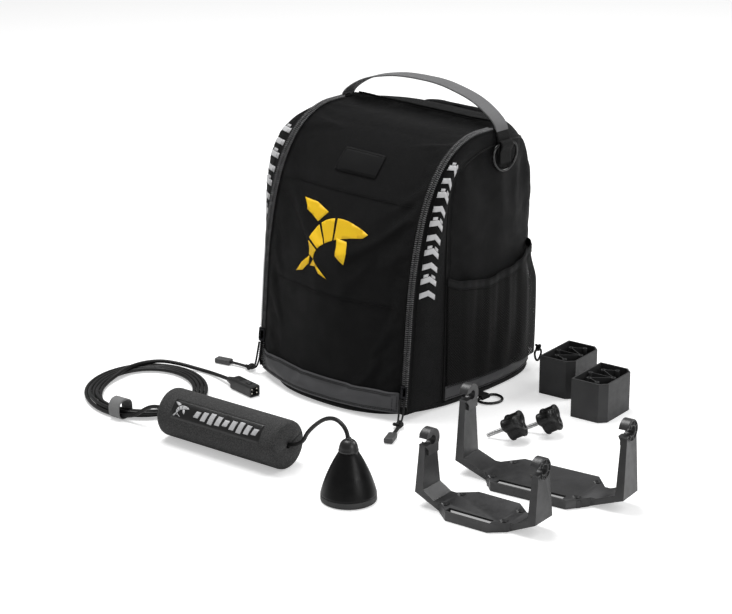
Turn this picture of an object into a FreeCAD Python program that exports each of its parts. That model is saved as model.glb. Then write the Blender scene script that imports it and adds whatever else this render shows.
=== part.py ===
import FreeCAD, Part
import math
import os
from FreeCAD import Placement, Rotation, Vector

# Portable ice-fishing kit for a fish finder: a soft carrying bag with a zipped front flap, and
# beside it the sonar transducer on its cable with a foam float, two gimbal brackets, two riser
# blocks and two clamp knobs.  Millimetres, +Z up.  The origin is the centre of the bag's base
# on the floor, the bag's front faces -Y and its right side, seen from the front, is +X.

DIMENSIONS = [
    ("bag_half_width", 148), ("back_half", 121), ("fabric", 4),
    ("base_thick", 7), ("zip_x", 140.5), ("zip_half", 3), ("zip_gap", 0.8),
    ("flap_bow", 34), ("patch_half", 39), ("hinge_y", 28), ("hinge_z", 383),
    ("strap_y", 48), ("strap_wide", 25), ("strap_thick", 2.4),
    ("handle_foot_z", 374), ("handle_rise", 63), ("handle_half", 150),
    ("hem_low", 10), ("hem_high", 41), ("band_low", 11), ("band_high", 32),
    ("band_thick", 1.2), ("band_gap", 0.6), ("band_back_x", 84), ("band_back_y", 169.2),
    ("seam_y", 64), ("seam_half", 130), ("gusset_thick", 3),
    ("wire_d", 4), ("ring_wide", 50), ("ring_drop", 38), ("floor_ring_wide", 38),
    ("floor_ring_long", 28), ("floor_tab_long", 17),
    ("slider_long", 19), ("slider_wide", 12), ("slider_thick", 6), ("pull_d", 3.4),
    ("grip_long", 26), ("grip_wide", 13), ("grip_thick", 8),
    ("sonar_x", 268), ("sonar_y", -390), ("sonar_r", 36.5), ("sonar_base_z", 9),
    ("sonar_neck_r", 12.6), ("sonar_neck_z", 66), ("sonar_top_r", 8.5), ("sonar_top_z", 82),
    ("sonar_wall", 3), ("piezo_r", 25), ("piezo_thick", 6), ("cable_d", 5.6),
    ("float_x", 41), ("float_y", -383), ("float_yaw", 5.4), ("float_long", 206),
    ("float_r", 33.5), ("float_bore_r", 4.6), ("float_slit", 2),
    ("coil_x", -201), ("coil_y", -315), ("coil_far", 112), ("coil_near", 92),
    ("coil_wide", 30), ("coil_low", 1.8), ("coil_high", 18), ("coil_yaw", 134),
    ("tie_long", 20), ("tie_thick", 1.6), ("tie_angle", 211), ("tie_high", 26),
    ("plug_x", -126), ("plug_y", -212.2), ("plug_yaw", -8),
    ("plug_long", 48), ("plug_wide", 18), ("plug_high", 17), ("boot_long", 16),
    ("small_x", 429.2), ("small_y", -315.4), ("small_yaw", 7), ("small_half", 90),
    ("small_slope_x", 39), ("small_post_z", 82), ("small_hook_z", 86),
    ("small_hole_x", 44.1), ("small_hole_y", 18.6), ("small_deep", 38.5),
    ("large_x", 429.8), ("large_y", -192), ("large_yaw", 10.2), ("large_half", 123),
    ("large_slope_x", 48), ("large_post_z", 102), ("large_hook_z", 106.4),
    ("large_hole_x", 61.8), ("large_hole_y", 28.7), ("large_deep", 46),
    ("bracket_slope_z", 18), ("bracket_foot_x", 10), ("bracket_post", 12),
    ("bracket_skirt", 12.5), ("bracket_wall", 2.8), ("bracket_post_deep", 20),
    ("hook_r", 15), ("hook_bore_r", 6.2), ("hook_wide", 12), ("hook_mouth", 9),
    ("bracket_hole_r", 3.1), ("sink_deep", 2.8), ("window_wide", 10.5), ("window_share", 0.65),
    ("riser_wide", 54), ("riser_deep", 80), ("riser_high", 57),
    ("riser_wall", 2.4), ("riser_chamfer", 10), ("riser_yaw", 7), ("boss_r", 3.4),
    ("boss_bore_r", 1.6), ("riser_front_x", 320), ("riser_front_y", 72),
    ("riser_rear_x", 230), ("riser_rear_y", 113.5),
    ("knob_r", 12), ("knob_lobe_r", 8), ("knob_reach", 12.5), ("knob_thick", 24),
    ("stud_d", 6), ("stud_long", 31), ("knob_tilt", 29), ("knob_yaw", 203),
    ("knob_front_x", 289), ("knob_front_y", -99.6), ("knob_rear_x", 310), ("knob_rear_y", -49.6),
    ("knob_z", 18.2),
]

doc = FreeCAD.newDocument("ice_fishing_kit")
sheet = doc.addObject("Spreadsheet::Sheet", "Dimensions")
for row, (alias, number) in enumerate(DIMENSIONS, start=1):
    sheet.set("A%d" % row, alias)
    sheet.set("B%d" % row, str(number))
    sheet.setAlias("B%d" % row, alias)
doc.recompute()

LEFT, RIGHT = -1, 1
SIDES = (("left", LEFT), ("right", RIGHT))
exported = []


def val(alias):
    """A driving dimension, read from the sheet."""
    return float(sheet.get(alias))


def bind(obj, **sizes):
    """Bind an object's properties to expressions over the sheet's aliases."""
    for prop, expression in sizes.items():
        names = sorted((alias for alias, _ in DIMENSIONS), key=len, reverse=True)
        tokens = expression.split(" ")
        tokens = ["Dimensions." + word if word in names else word for word in tokens]
        obj.setExpression(prop, " ".join(tokens))


def place(x=0, y=0, z=0, yaw=0, axis=Vector(0, 0, 1)):
    return Placement(Vector(x, y, z), Rotation(axis, yaw))


def keep(obj, label, placement=None):
    """Mark an object as a sub-part that is exported under its label."""
    obj.Label = label
    if placement is not None:
        obj.Placement = placement
    exported.append(obj)
    return obj


def feature(label, shape, placement=None):
    obj = doc.addObject("Part::Feature", label)
    obj.Shape = shape
    return keep(obj, label, placement or Placement())


def primitive(kind, name, placement=None, **sizes):
    obj = doc.addObject(kind, name)
    bind(obj, **sizes)
    if placement is not None:
        obj.Placement = placement
    return obj


def boolean(kind, name, base, tools):
    """Part::Cut, Part::MultiFuse or Part::MultiCommon of document objects."""
    if kind == "Part::Cut":
        for count, tool in enumerate(tools):
            obj = doc.addObject(kind, "%s_cut_%d" % (name, count))
            obj.Base, obj.Tool = base, tool
            base = obj
        return base
    obj = doc.addObject(kind, name + "_join")
    obj.Shapes = [base] + list(tools)
    return obj


# ---------------------------------------------------------------- curves and bands

def spline(points):
    curve = Part.BSplineCurve()
    curve.interpolate([Vector(*p) for p in points])
    return curve.toShape()


def offset_points(points, distance):
    """Shift 2-D points to the left of their direction of travel (right when negative)."""
    moved = []
    last = len(points) - 1
    for i, (a, b) in enumerate(points):
        before, after = points[max(i - 1, 0)], points[min(i + 1, last)]
        da, db = after[0] - before[0], after[1] - before[1]
        size = math.hypot(da, db)
        moved.append((a - db / size * distance, b + da / size * distance))
    return moved


def band_wire(points, thickness, to_space):
    """A closed wire round a strip of the given thickness on one side of a smooth line."""
    outer = [to_space(*p) for p in points]
    inner = [to_space(*p) for p in reversed(offset_points(points, thickness))]
    edges = [spline(outer), Part.makeLine(Vector(*outer[-1]), Vector(*inner[0])),
             spline(inner), Part.makeLine(Vector(*inner[-1]), Vector(*outer[0]))]
    return Part.Wire(edges)


def side_plane(x):
    return lambda y, z: (x, y, z)


def plan_plane(z):
    return lambda x, y: (x, y, z)


def front_plane(y):
    return lambda x, z: (x, y, z)


def extrude(wire, direction):
    return Part.Face(wire).extrude(Vector(*direction))


# ---------------------------------------------------------------- the bag's lines

ZIP_SLOPE = 13.5 / 158.0    # how far the lower zipper leans back for each unit of height


def zip_line(low):
    """The front edge of the bag along the zipper, in (y, z), from the hem up to the hinge."""
    straight = [(-142 + (z - 20) * ZIP_SLOPE, z) for z in (low, 100, 178)]
    return straight + [(-119.5, 232), (-106, 283), (-88, 323), (-65, 353), (-38, 372),
                       (-8, 382), (val("hinge_y"), val("hinge_z"))]


def gusset_seam():
    """Where the gusset meets the side panel, in (y, z)."""
    return [(-70, 12), (-68, 100), (-67, 178), (-66.5, 232), (-64, 285), (-57, 322),
            (-42, 341), (-19, 352), (2, 359), (val("hinge_y"), 363)]


def side_points(side, grow=0.0):
    """The bag's side in plan from the gusset's seam round to the back, in (x, y)."""
    half = val("bag_half_width") + grow
    points = [(half, -68), (half + 2, -10), (half + 1, 50), (half - 6, 105),
              (half - 22, 143 + grow), (half - 42, 162 + grow)]
    return [(side * x, y) for x, y in points]


def base_points(grow=0.0):
    """The base's outline in plan, front centre first, as a closed loop of (x, y)."""
    half = [(0, -172 - grow), (62, -165 - grow), (108, -141 - grow), (131 + grow, -110),
            (145 + grow, -60), (147 + grow, 0), (143 + grow, 75), (127 + grow, 135 + grow),
            (85, 162 + grow), (0, 168 + grow)]
    mirror = [(-x, y) for x, y in reversed(half[1:-1])]
    return half + mirror


def closed_outline(points, z):
    curve = Part.BSplineCurve()
    curve.interpolate([Vector(x, y, z) for x, y in points], PeriodicFlag=True)
    return Part.Wire(curve.toShape())


def slab(points, low, high):
    return extrude(closed_outline(points, low), (0, 0, high - low))


# ---------------------------------------------------------------- bag shell

WALL_FOOT_Z = 9.2           # the walls stand on the base's piping


def back_profile():
    return [(167, WALL_FOOT_Z), (168, 110), (164, 210), (152, 305), (129, 372)]


def bow(x, z):
    """How far the flap bulges forward at half-width x and height z."""
    fade = max(0.0, 1 - (z / 380.0) ** 2)
    return -val("flap_bow") * fade * (1 - (x / val("zip_x")) ** 2)


def flap_band(x, low, high, thickness, lift=0.0):
    points = [(y + bow(x, z), z) for y, z in zip_line(low) if z <= high]
    if lift:
        points = offset_points(points, lift)
    return band_wire(points, -thickness, side_plane(x))


def lofted_flap(half, low, high, thickness, lift=0.0):
    stations = [half * k for k in (-1, -0.55, 0, 0.55, 1)]
    wires = [flap_band(x, low, high, thickness, lift) for x in stations]
    return Part.makeLoft(wires, True, False)


def make_bag_shell():
    base = val("base_thick")
    feature("base_panel", slab(base_points(-4), 0, base))
    ring = slab(base_points(), 1, base + 2).cut(slab(base_points(-3.9), 0, base + 3))
    feature("base_piping", ring)
    feature("base_board", slab(base_points(-14), base + 0.2, base + 4.2))
    reach = val("back_half")
    back = extrude(band_wire(back_profile(), val("fabric"), side_plane(-reach)), (2 * reach, 0, 0))
    back = back.common(slab(base_points(4.5), 0, val("hinge_z") + 20))
    for name, side in SIDES:
        wall = side_panel(side)
        back = back.cut(wall)
        feature("side_panel_" + name, wall)
        feature("gusset_" + name, gusset(side))
    feature("back_panel", back)
    feature("top_panel", top_panel())
    feature("side_band", side_band())


def side_panel(side):
    """The side wall, curving round the rear corner, cut to the side's outline."""
    wall = extrude(band_wire(side_points(side), side * val("fabric"), plan_plane(9.2)), (0, 0, 400))
    y_z = [(-67.6, 9), (-67.6, 178), (-66, 232), (-63.4, 285), (-56, 320), (-41, 339), (-18, 350),
           (2, 357), (30, 361), (88, 365), (126, 350), (150, 300), (162, 210), (166, 110), (166, 9)]
    corners = [Vector(-200, y, z) for y, z in y_z]
    outline = Part.makePolygon(corners + corners[:1])
    return wall.common(extrude(outline, (400, 0, 0)))


# How far each gusset is stuffed out sideways, from the hem up to the hinge.  The left one is
# fuller than the right one.
LEFT_FULLNESS = (4, 8, 13, 19, 25, 27, 25, 19, 11, 3)
RIGHT_FULLNESS = (3, 4, 5.5, 7.5, 10, 11, 10, 7, 4, 1.5)
CREST_SKEW = 0.8            # below one, the fullest line lies nearer the zipper


def gusset(side):
    """The padded strip between a zipper and the side's seam, rounded like a bolster."""
    fullness = LEFT_FULLNESS if side == LEFT else RIGHT_FULLNESS
    thick = val("gusset_thick")
    wires = [band_wire(zip_line(12), -thick, side_plane(side * gusset_x(0)))]
    wires += [gusset_rib(side, share, fullness) for share in (0.15, 0.3, 0.45, 0.6, 0.8)]
    wires.append(band_wire(gusset_seam(), thick, side_plane(side * gusset_x(1))))
    return Part.makeLoft(wires, True, True)


def gusset_x(share):
    """Half-width of the bag a share of the way from the zipper to the side's seam."""
    front, rear = val("zip_x") + val("zip_half") + 0.4, val("bag_half_width") - 0.5
    return front + (rear - front) * share


def gusset_rib(side, share, fullness):
    """A closed wire up the gusset, at a share of its width back from the zipper."""
    thick, phase = val("gusset_thick"), math.pi * share ** CREST_SKEW
    outer, inner = [], []
    for (y0, z0), (y1, z1), full in zip(zip_line(12), gusset_seam(), fullness):
        across = math.hypot(y1 - y0, z1 - z0)
        back = Vector(0, (y1 - y0) / across, (z1 - z0) / across)
        x = gusset_x(share) + full * math.sin(phase)
        grade = full * math.pi * CREST_SKEW * math.cos(phase) / across
        place = Vector(side * x, y0 + (y1 - y0) * share, z0 + (z1 - z0) * share)
        inward = Vector(-side, 0, 0) + back * grade
        outer.append(place)
        inner.append(place + inward * (thick / inward.Length))
    edges = [spline(outer), Part.makeLine(outer[-1], inner[-1]), spline(inner[::-1]),
             Part.makeLine(inner[0], outer[0])]
    return Part.Wire(edges)


def top_arch(y, crown, shoulder):
    half = val("bag_half_width") - 1
    points = [(-half, shoulder), (-half + 14, shoulder + 0.62 * (crown - shoulder)),
              (-half * 0.5, crown - 1.5), (0, crown), (half * 0.5, crown - 1.5),
              (half - 14, shoulder + 0.62 * (crown - shoulder)), (half, shoulder)]
    return band_wire(points, -3, front_plane(y))


def top_panel():
    """The fixed part of the top behind the flap's hinge line."""
    wires = [top_arch(val("hinge_y") + 2, 386, 365.5), top_arch(66, 386, 368),
             top_arch(100, 382.5, 368.5), top_arch(124, 376, 357)]
    return Part.makeLoft(wires, True, False)


def side_band():
    """The reflective band round the sides and the back."""
    low, high = val("band_low"), val("band_high")
    half = offset_points(side_points(RIGHT), -val("band_gap"))
    half += [(val("band_back_x"), val("band_back_y"))]
    path = half + [(0, val("band_back_y") + 0.6)] + [(-x, y) for x, y in reversed(half)]
    return extrude(band_wire(path, -val("band_thick"), plan_plane(low)), (0, 0, high - low))


# ---------------------------------------------------------------- zippers, seams, flap

def zip_strip(side, inner, outer):
    points = zip_line(30)
    wire = band_wire(offset_points(points, 1.2), -4.0, side_plane(side * inner))
    return extrude(wire, (side * (outer - inner), 0, 0))


def make_zippers():
    middle, half, gap = val("zip_x"), val("zip_half"), val("zip_gap") / 2
    for name, side in SIDES:
        feature("flap_zip_" + name, zip_strip(side, middle - half, middle - gap))
        feature("side_zip_" + name, zip_strip(side, middle + gap, middle + half))


def make_flap():
    half = val("zip_x") - val("zip_half") - 0.4
    feature("flap_panel", lofted_flap(half, 12, 999, 4))
    hem = flap_hem(val("zip_x") - 7, val("hem_low"), val("hem_high"))
    feature("hem_band", hem)
    patch = [(y - 1.4 + bow(0, z), z) for y, z in ((-90, 320), (-81, 333), (-70, 346.5))]
    wire = band_wire(patch, -1.2, side_plane(-val("patch_half")))
    feature("hook_loop_patch", extrude(wire, (2 * val("patch_half"), 0, 0)))


def flap_hem(half, low, high):
    """The grey band on the flap's lower edge, just in front of the panel."""
    stations = [half * k for k in (-1, -0.55, 0, 0.55, 1)]
    wires = []
    for x in stations:
        points = [(-142.2 + (z - 20) * ZIP_SLOPE - 0.3 + bow(x, z), z) for z in (low, 25, high)]
        wires.append(band_wire(points, 1.8, side_plane(x)))
    return Part.makeLoft(wires, True, False)


def make_seam_piping():
    """The corded seam across the top, just behind the handle."""
    half, y = val("seam_half"), val("seam_y")
    arch = [(-half, y, 381.6), (-half * 0.5, y, 386.6), (0, y, 387.8), (half * 0.5, y, 386.6),
            (half, y, 381.6)]
    path = Part.Wire(spline(arch))
    circle = Part.Wire(Part.makeCircle(1.5, Vector(*arch[0]), path.Edges[0].tangentAt(0)))
    feature("seam_piping", path.makePipeShell([circle], True, False))


# ---------------------------------------------------------------- pockets

def pocket_points(side):
    """The mesh pocket in plan: it bellies away from the side panel between its seams."""
    half = val("bag_half_width")
    points = [(half + 3.2, -66), (half + 10, -40), (half + 14, 10), (half + 12.5, 60),
              (half + 6, 105), (half - 12, 142)]
    return [(side * x, y) for x, y in points]


def pocket_rim():
    """The slanting top edge of the pocket, in (y, z)."""
    return [(-70, 181), (-40, 170), (10, 163), (60, 168), (110, 183), (150, 200)]


def make_pockets():
    for name, side in SIDES:
        wire = band_wire(pocket_points(side), -side * 2.0, plan_plane(34))
        wall = extrude(wire, (0, 0, 200))
        feature("mesh_pocket_" + name, wall.common(rim_prism(-400, 0)))
        wire = band_wire(pocket_points(side), -side * 2.0, plan_plane(120))
        strip = extrude(wire, (0, 0, 120))
        feature("pocket_binding_" + name, strip.common(rim_prism(0.05, 13)))


def rim_prism(low, high):
    """A prism across the bag between two heights above the pocket's rim line."""
    top = [(-200, y, z + high) for y, z in pocket_rim()]
    bottom = [(-200, y, z + low) for y, z in reversed(pocket_rim())]
    edges = [spline(top), Part.makeLine(Vector(*top[-1]), Vector(*bottom[0])),
             spline(bottom), Part.makeLine(Vector(*bottom[-1]), Vector(*top[0]))]
    return extrude(Part.Wire(edges), (400, 0, 0))


# ---------------------------------------------------------------- handle and rings

def make_handle():
    """A webbing strap that arches over the top from one side to the other."""
    half, foot, rise = val("handle_half"), val("handle_foot_z"), val("handle_rise")
    points = [(-half, foot), (-half + 8, foot + 0.33 * rise), (-half * 0.72, foot + 0.71 * rise),
              (-half * 0.36, foot + 0.94 * rise), (0, foot + rise),
              (half * 0.36, foot + 0.94 * rise), (half * 0.72, foot + 0.71 * rise),
              (half - 8, foot + 0.33 * rise), (half, foot)]
    wire = band_wire(points, -val("strap_thick"), front_plane(val("strap_y") - val("strap_wide") / 2))
    feature("carry_handle", extrude(wire, (0, val("strap_wide"), 0)))


def loop_profile(side, x, low, high, thick):
    return Part.makeBox(thick, val("strap_wide"), high - low,
                        Vector(side * x - (thick if side < 0 else 0),
                               val("strap_y") - val("strap_wide") / 2, low))


def make_ring_loops():
    """Black webbing folded round each D-ring's bar and sewn to the side panel."""
    wire, bar_z = val("wire_d"), ring_bar_z()
    for name, side in SIDES:
        middle = Vector(side * ring_bar_x(), val("strap_y") - val("strap_wide") / 2, bar_z)
        outside = Part.makeCylinder(wire / 2 + 2.4, val("strap_wide"), middle, Vector(0, 1, 0))
        tail = loop_profile(side, val("bag_half_width") + 2.6, bar_z - 22, bar_z, 1.9)
        hollow = Part.makeCylinder(wire / 2 + 0.5, val("strap_wide"), middle, Vector(0, 1, 0))
        feature("ring_loop_" + name, outside.fuse(tail).cut(hollow))


def ring_bar_z():
    return 364.0


def ring_bar_x():
    return val("bag_half_width") + 6.9


def d_ring(wide, drop, wire):
    """A D-ring in the YZ plane: a straight bar along Y at the origin, the bow hanging down."""
    half = wide / 2
    bend = drop - half
    near, far = bend * (1 - math.sqrt(0.5)), half - bend
    path = Part.Wire([
        Part.makeLine(Vector(0, -far, 0), Vector(0, far, 0)),
        Part.Arc(Vector(0, far, 0), Vector(0, half - near, -near), Vector(0, half, -bend)).toShape(),
        Part.Arc(Vector(0, half, -bend), Vector(0, 0, -drop), Vector(0, -half, -bend)).toShape(),
        Part.Arc(Vector(0, -half, -bend), Vector(0, near - half, -near), Vector(0, -far, 0)).toShape(),
    ])
    circle = Part.Wire(Part.makeCircle(wire / 2, Vector(0, -far, 0), Vector(0, 1, 0)))
    return path.makePipeShell([circle], True, False)


def make_rings():
    wire = val("wire_d")
    for name, side in SIDES:
        ring = d_ring(val("ring_wide"), val("ring_drop"), wire)
        feature("d_ring_" + name, ring, place(side * ring_bar_x(), val("strap_y"), ring_bar_z()))
        flat = d_ring(val("floor_ring_wide"), val("floor_ring_long"), wire)
        turned = Placement(Vector(side * floor_bar_x(), 0, wire / 2 + 0.1),
                           Rotation(Vector(0, 1, 0), -90 * side))
        feature("floor_ring_" + name, flat, turned)
        feature("floor_tab_" + name, floor_tab(side))


def floor_bar_x():
    return val("bag_half_width") + val("floor_tab_long")


def floor_tab(side):
    """The webbing tab under the side that holds the lower ring."""
    wire, bar = val("wire_d"), floor_bar_x()
    wide = 17
    middle = Vector(side * bar, -wide / 2, wire / 2 + 0.1)
    eye = Part.makeCylinder(wire / 2 + 2, wide, middle, Vector(0, 1, 0))
    reach = bar - val("bag_half_width") - 2.2
    start = val("bag_half_width") + 2.2
    tail = Part.makeBox(reach, wide, 2, Vector(start if side > 0 else -start - reach, -wide / 2, 4))
    hollow = Part.makeCylinder(wire / 2 + 0.5, wide, middle, Vector(0, 1, 0))
    floor_cut = Part.makeBox(60, 60, 20, Vector(side * bar - 30, -30, -20))
    return eye.fuse(tail).cut(hollow).cut(floor_cut)


def make_rear_cord_loop():
    """A short knotted cord loop sewn to the right rear corner."""
    loop = Part.makeTorus(8.5, 1.6, Vector(0, 0, 0), Vector(1, 0, 0))
    knot = Part.makeSphere(4.6, Vector(0, 0, 11))
    feature("rear_cord_loop", loop.fuse(knot), place(143.5, 147.5, 22))


# ---------------------------------------------------------------- zipper sliders and pulls

ARC_SHARE = 0.45    # of the shorter run beside a corner that its arc takes up

def rounded_path(points, name):
    """Straight runs joined by tangent arcs, each as large as its two runs allow."""
    nodes = [Vector(*p) for p in points]
    edges, start, radii = [], nodes[0], []
    for before, corner, after in zip(nodes, nodes[1:], nodes[2:]):
        into, out = corner - before, after - corner
        half_turn = into.getAngle(out) / 2
        back = ARC_SHARE * min(into.Length, out.Length)
        radius = back / math.tan(half_turn)
        first = corner - into.normalize() * back
        last = corner + out.normalize() * back
        inward = ((first + last) * 0.5 - corner).normalize()
        middle = corner + inward * radius * (1 / math.cos(half_turn) - 1)
        edges.append(Part.LineSegment(start, first).toShape())
        edges.append(Part.Arc(first, middle, last).toShape())
        start = last
        radii.append(radius)
    edges.append(Part.LineSegment(start, nodes[-1]).toShape())
    print("%s radii: %s" % (name, " ".join("%.0f" % radius for radius in radii)))
    return Part.Wire(edges)


def tube(points, diameter, name):
    path = rounded_path(points, name)
    direction = Vector(*points[1]) - Vector(*points[0])
    circle = Part.Wire(Part.makeCircle(diameter / 2, Vector(*points[0]), direction))
    solid = path.makePipeShell([circle], True, False)
    expected = math.pi * diameter ** 2 / 4 * path.Length
    print("%s length %.0f volume ratio %.4f" % (name, path.Length, solid.Volume / expected))
    return solid


PULLS = {
    "left": [(-140.5, -146.0, 50), (-141.2, -148.6, 32), (-143.5, -151.0, 15), (-151, -150.0, 5.4),
             (-167, -146.0, 3.4), (-184, -147.0, 3.6), (-198, -150.5, 4.2)],
    "right": [(140.5, -147.0, 33), (140.9, -149.0, 22), (142.2, -152.0, 11), (147, -160.0, 4.4),
              (155, -171.0, 3.4), (162.5, -184.0, 3.6), (169, -197.0, 4.2)],
}
SLIDER_Z = {"left": 60, "right": 43}


def make_sliders():
    for name, side in SIDES:
        make_slider_body(name, side, SLIDER_Z[name])
        route = PULLS[name]
        feature("pull_cord_" + name, tube(route, val("pull_d"), "pull_cord_" + name))
        make_pull_grip(name, route)


def make_slider_body(name, side, height):
    """The zipper slider: a wedge-shaped plate with a bridge for the pull."""
    wide, tall, thick = val("slider_wide"), val("slider_long"), val("slider_thick")
    lean = math.degrees(math.atan(ZIP_SLOPE))
    plate = Part.makeBox(wide, thick * 0.45, tall, Vector(-wide / 2, -thick * 0.45, -tall / 2))
    plate = plate.makeChamfer(1.2, [edge for edge in plate.Edges if edge.Length > tall - 1])
    bridge = Part.makeBox(4, thick * 0.55, tall * 0.6, Vector(-2, -thick, -tall * 0.3))
    hole = Part.makeBox(6, thick * 0.3, tall * 0.36, Vector(-3, -thick * 0.7, -tall * 0.18))
    body = plate.fuse(bridge.cut(hole))
    y = -142 + (height - 20) * ZIP_SLOPE - 2.9
    spot = Placement(Vector(side * val("zip_x"), y, height), Rotation(Vector(1, 0, 0), -lean))
    feature("slider_" + name, body, spot)


def make_pull_grip(name, route):
    """The moulded end of the pull, lying on the floor at the end of its cord."""
    end, before = Vector(*route[-1]), Vector(*route[-2])
    heading = math.degrees(math.atan2(end.y - before.y, end.x - before.x))
    long, wide, thick = val("grip_long"), val("grip_wide"), val("grip_thick")
    block = Part.makeBox(long, wide, thick, Vector(0.2, -wide / 2, 0))
    block = block.makeFillet(2.2, [edge for edge in block.Edges if edge.Length > 7])
    feature("pull_grip_" + name, block, place(end.x, end.y, 0.1, heading))


# ---------------------------------------------------------------- sonar transducer

def revolved(label, points, placement):
    """A PartDesign body: a closed (radius, height) outline turned about the Z axis."""
    body = doc.addObject("PartDesign::Body", label)
    sketch = body.newObject("Sketcher::SketchObject", label + "_outline")
    plane = [f for f in body.Origin.OriginFeatures if f.Role == "XZ_Plane"][0]
    sketch.AttachmentSupport = [(plane, "")]
    sketch.MapMode = "FlatFace"
    corners = [Vector(r, z, 0) for r, z in points]
    for start, end in zip(corners, corners[1:] + corners[:1]):
        sketch.addGeometry(Part.LineSegment(start, end), False)
    doc.recompute()
    turn = body.newObject("PartDesign::Revolution", label + "_turn")
    turn.Profile = sketch
    turn.ReferenceAxis = (sketch, ["V_Axis"])
    turn.Angle = 360
    body.Tip = turn
    return keep(body, label, placement)


def cone_radius(z):
    """The transducer's slightly rounded cone: radius at a height above its base ring."""
    low, high = val("sonar_base_z"), val("sonar_neck_z")
    share = (z - low) / (high - low)
    bulge = 4 * share * (1 - share) * 2.6
    return val("sonar_r") * (1 - share) + val("sonar_neck_r") * share + bulge


def make_transducer():
    spot = place(val("sonar_x"), val("sonar_y"), 0)
    radius, wall, base = val("sonar_r"), val("sonar_wall"), val("sonar_base_z")
    neck, top = val("sonar_neck_z"), val("sonar_top_z")
    steps = [base + 0.2 + (neck - base - 0.2) * k / 8.0 for k in range(9)]
    outside = [(cone_radius(z), z) for z in steps]
    inside = [(max(cone_radius(z) - wall, 5.0), z) for z in reversed(steps)]
    revolved("transducer_cone", outside + inside, spot)
    ring = [(radius, 0), (radius, base - 1.2), (radius - 1.2, base), (radius - 5, base),
            (radius - 5, 0)]
    revolved("transducer_ring", ring, spot)
    bore = val("cable_d") / 2 + 0.2
    cap = [(bore, neck + 0.2), (val("sonar_neck_r") + 0.4, neck + 0.2),
           (val("sonar_neck_r") - 0.6, neck + 7), (val("sonar_top_r") + 1.2, top - 3),
           (val("sonar_top_r") - 2, top - 0.6), (bore + 1, top), (bore, top)]
    revolved("transducer_cap", cap, spot)
    face = primitive("Part::Cylinder", "transducer_face", spot,
                     Radius="sonar_r - 5.1", Height="3")
    keep(face, "transducer_face")
    piezo = primitive("Part::Cylinder", "piezo_element",
                      place(val("sonar_x"), val("sonar_y"), 3.1),
                      Radius="piezo_r", Height="piezo_thick")
    keep(piezo, "piezo_element")


# ---------------------------------------------------------------- cable, coil, plug, float

def along_float(distance, rise=0.0):
    """A point on the float's axis, measured from its middle towards the transducer."""
    yaw = math.radians(val("float_yaw"))
    return (val("float_x") + distance * math.cos(yaw), val("float_y") + distance * math.sin(yaw),
            val("float_r") + rise)


def coil_point(angle, share, z):
    """A point on the coil, from its inner (share 0) to its outer (share 1) edge."""
    far = val("coil_far") - val("coil_wide") * (1 - share)
    near = val("coil_near") - val("coil_wide") * (1 - share)
    turn, yaw = math.radians(angle), math.radians(val("coil_yaw"))
    u, v = far * math.cos(turn), -near * math.sin(turn)
    return (val("coil_x") + u * math.cos(yaw) - v * math.sin(yaw),
            val("coil_y") + u * math.sin(yaw) + v * math.cos(yaw), z)


def cable_route():
    """The cable from the transducer over its crest and down to the float's mouth."""
    x, y, top = val("sonar_x"), val("sonar_y"), val("sonar_top_z")
    return [(x, y, top - 8), (x - 1, y + 0.3, top + 5), (x - 9, y + 1.5, top + 15),
            (x - 25, y + 4, top + 20), (x - 45, y + 7, top + 15), (x - 66, y + 10.5, top + 1),
            (x - 87, y + 13, top - 19), along_float(128, 11.5), along_float(109, 1.8),
            along_float(86)]


def make_cable():
    """The tube from the transducer through the float to the coil, and the lead to the plug."""
    route = cable_route()
    route += [along_float(26, 0.15), along_float(-34, 0), along_float(-94, 0.12),
              along_float(-128, 0), (-104, -397, 29), (-118, -399.5, 19), (-129, -401.5, 10.5)]
    feature("sonar_cable", tube(route, val("cable_d"), "sonar_cable"))
    feature("cable_coil", coil_shape(),
            place(val("coil_x"), val("coil_y"), val("coil_low"), val("coil_yaw")))
    boot = plug_spot(-val("boot_long"))
    lead = [(-259.5, -221, 10.5), (-240, -211.5, 7), (-218, -203.5, 3.8), (-192, -200, 3.3),
            (-166, -204, 5.6), (boot[0] - 0.1, boot[1], val("plug_high") / 2)]
    feature("cable_lead", tube(lead, val("cable_d"), "cable_lead"))


def coil_shape():
    """The closed outer shape of the coiled cable: a flat oval ring on the floor."""
    far, near, wide = val("coil_far"), val("coil_near"), val("coil_wide")
    spot = Vector(0, 0, 0)
    outer = Part.Ellipse(spot, far, near).toShape()
    inner = Part.Ellipse(spot, far - wide, near - wide).toShape()
    ring = Part.Face(Part.Wire(outer)).cut(Part.Face(Part.Wire(inner)))
    return ring.extrude(Vector(0, 0, val("coil_high") - val("coil_low")))


def plug_spot(distance):
    yaw = math.radians(val("plug_yaw"))
    return (val("plug_x") + distance * math.cos(yaw), val("plug_y") + distance * math.sin(yaw))


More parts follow.
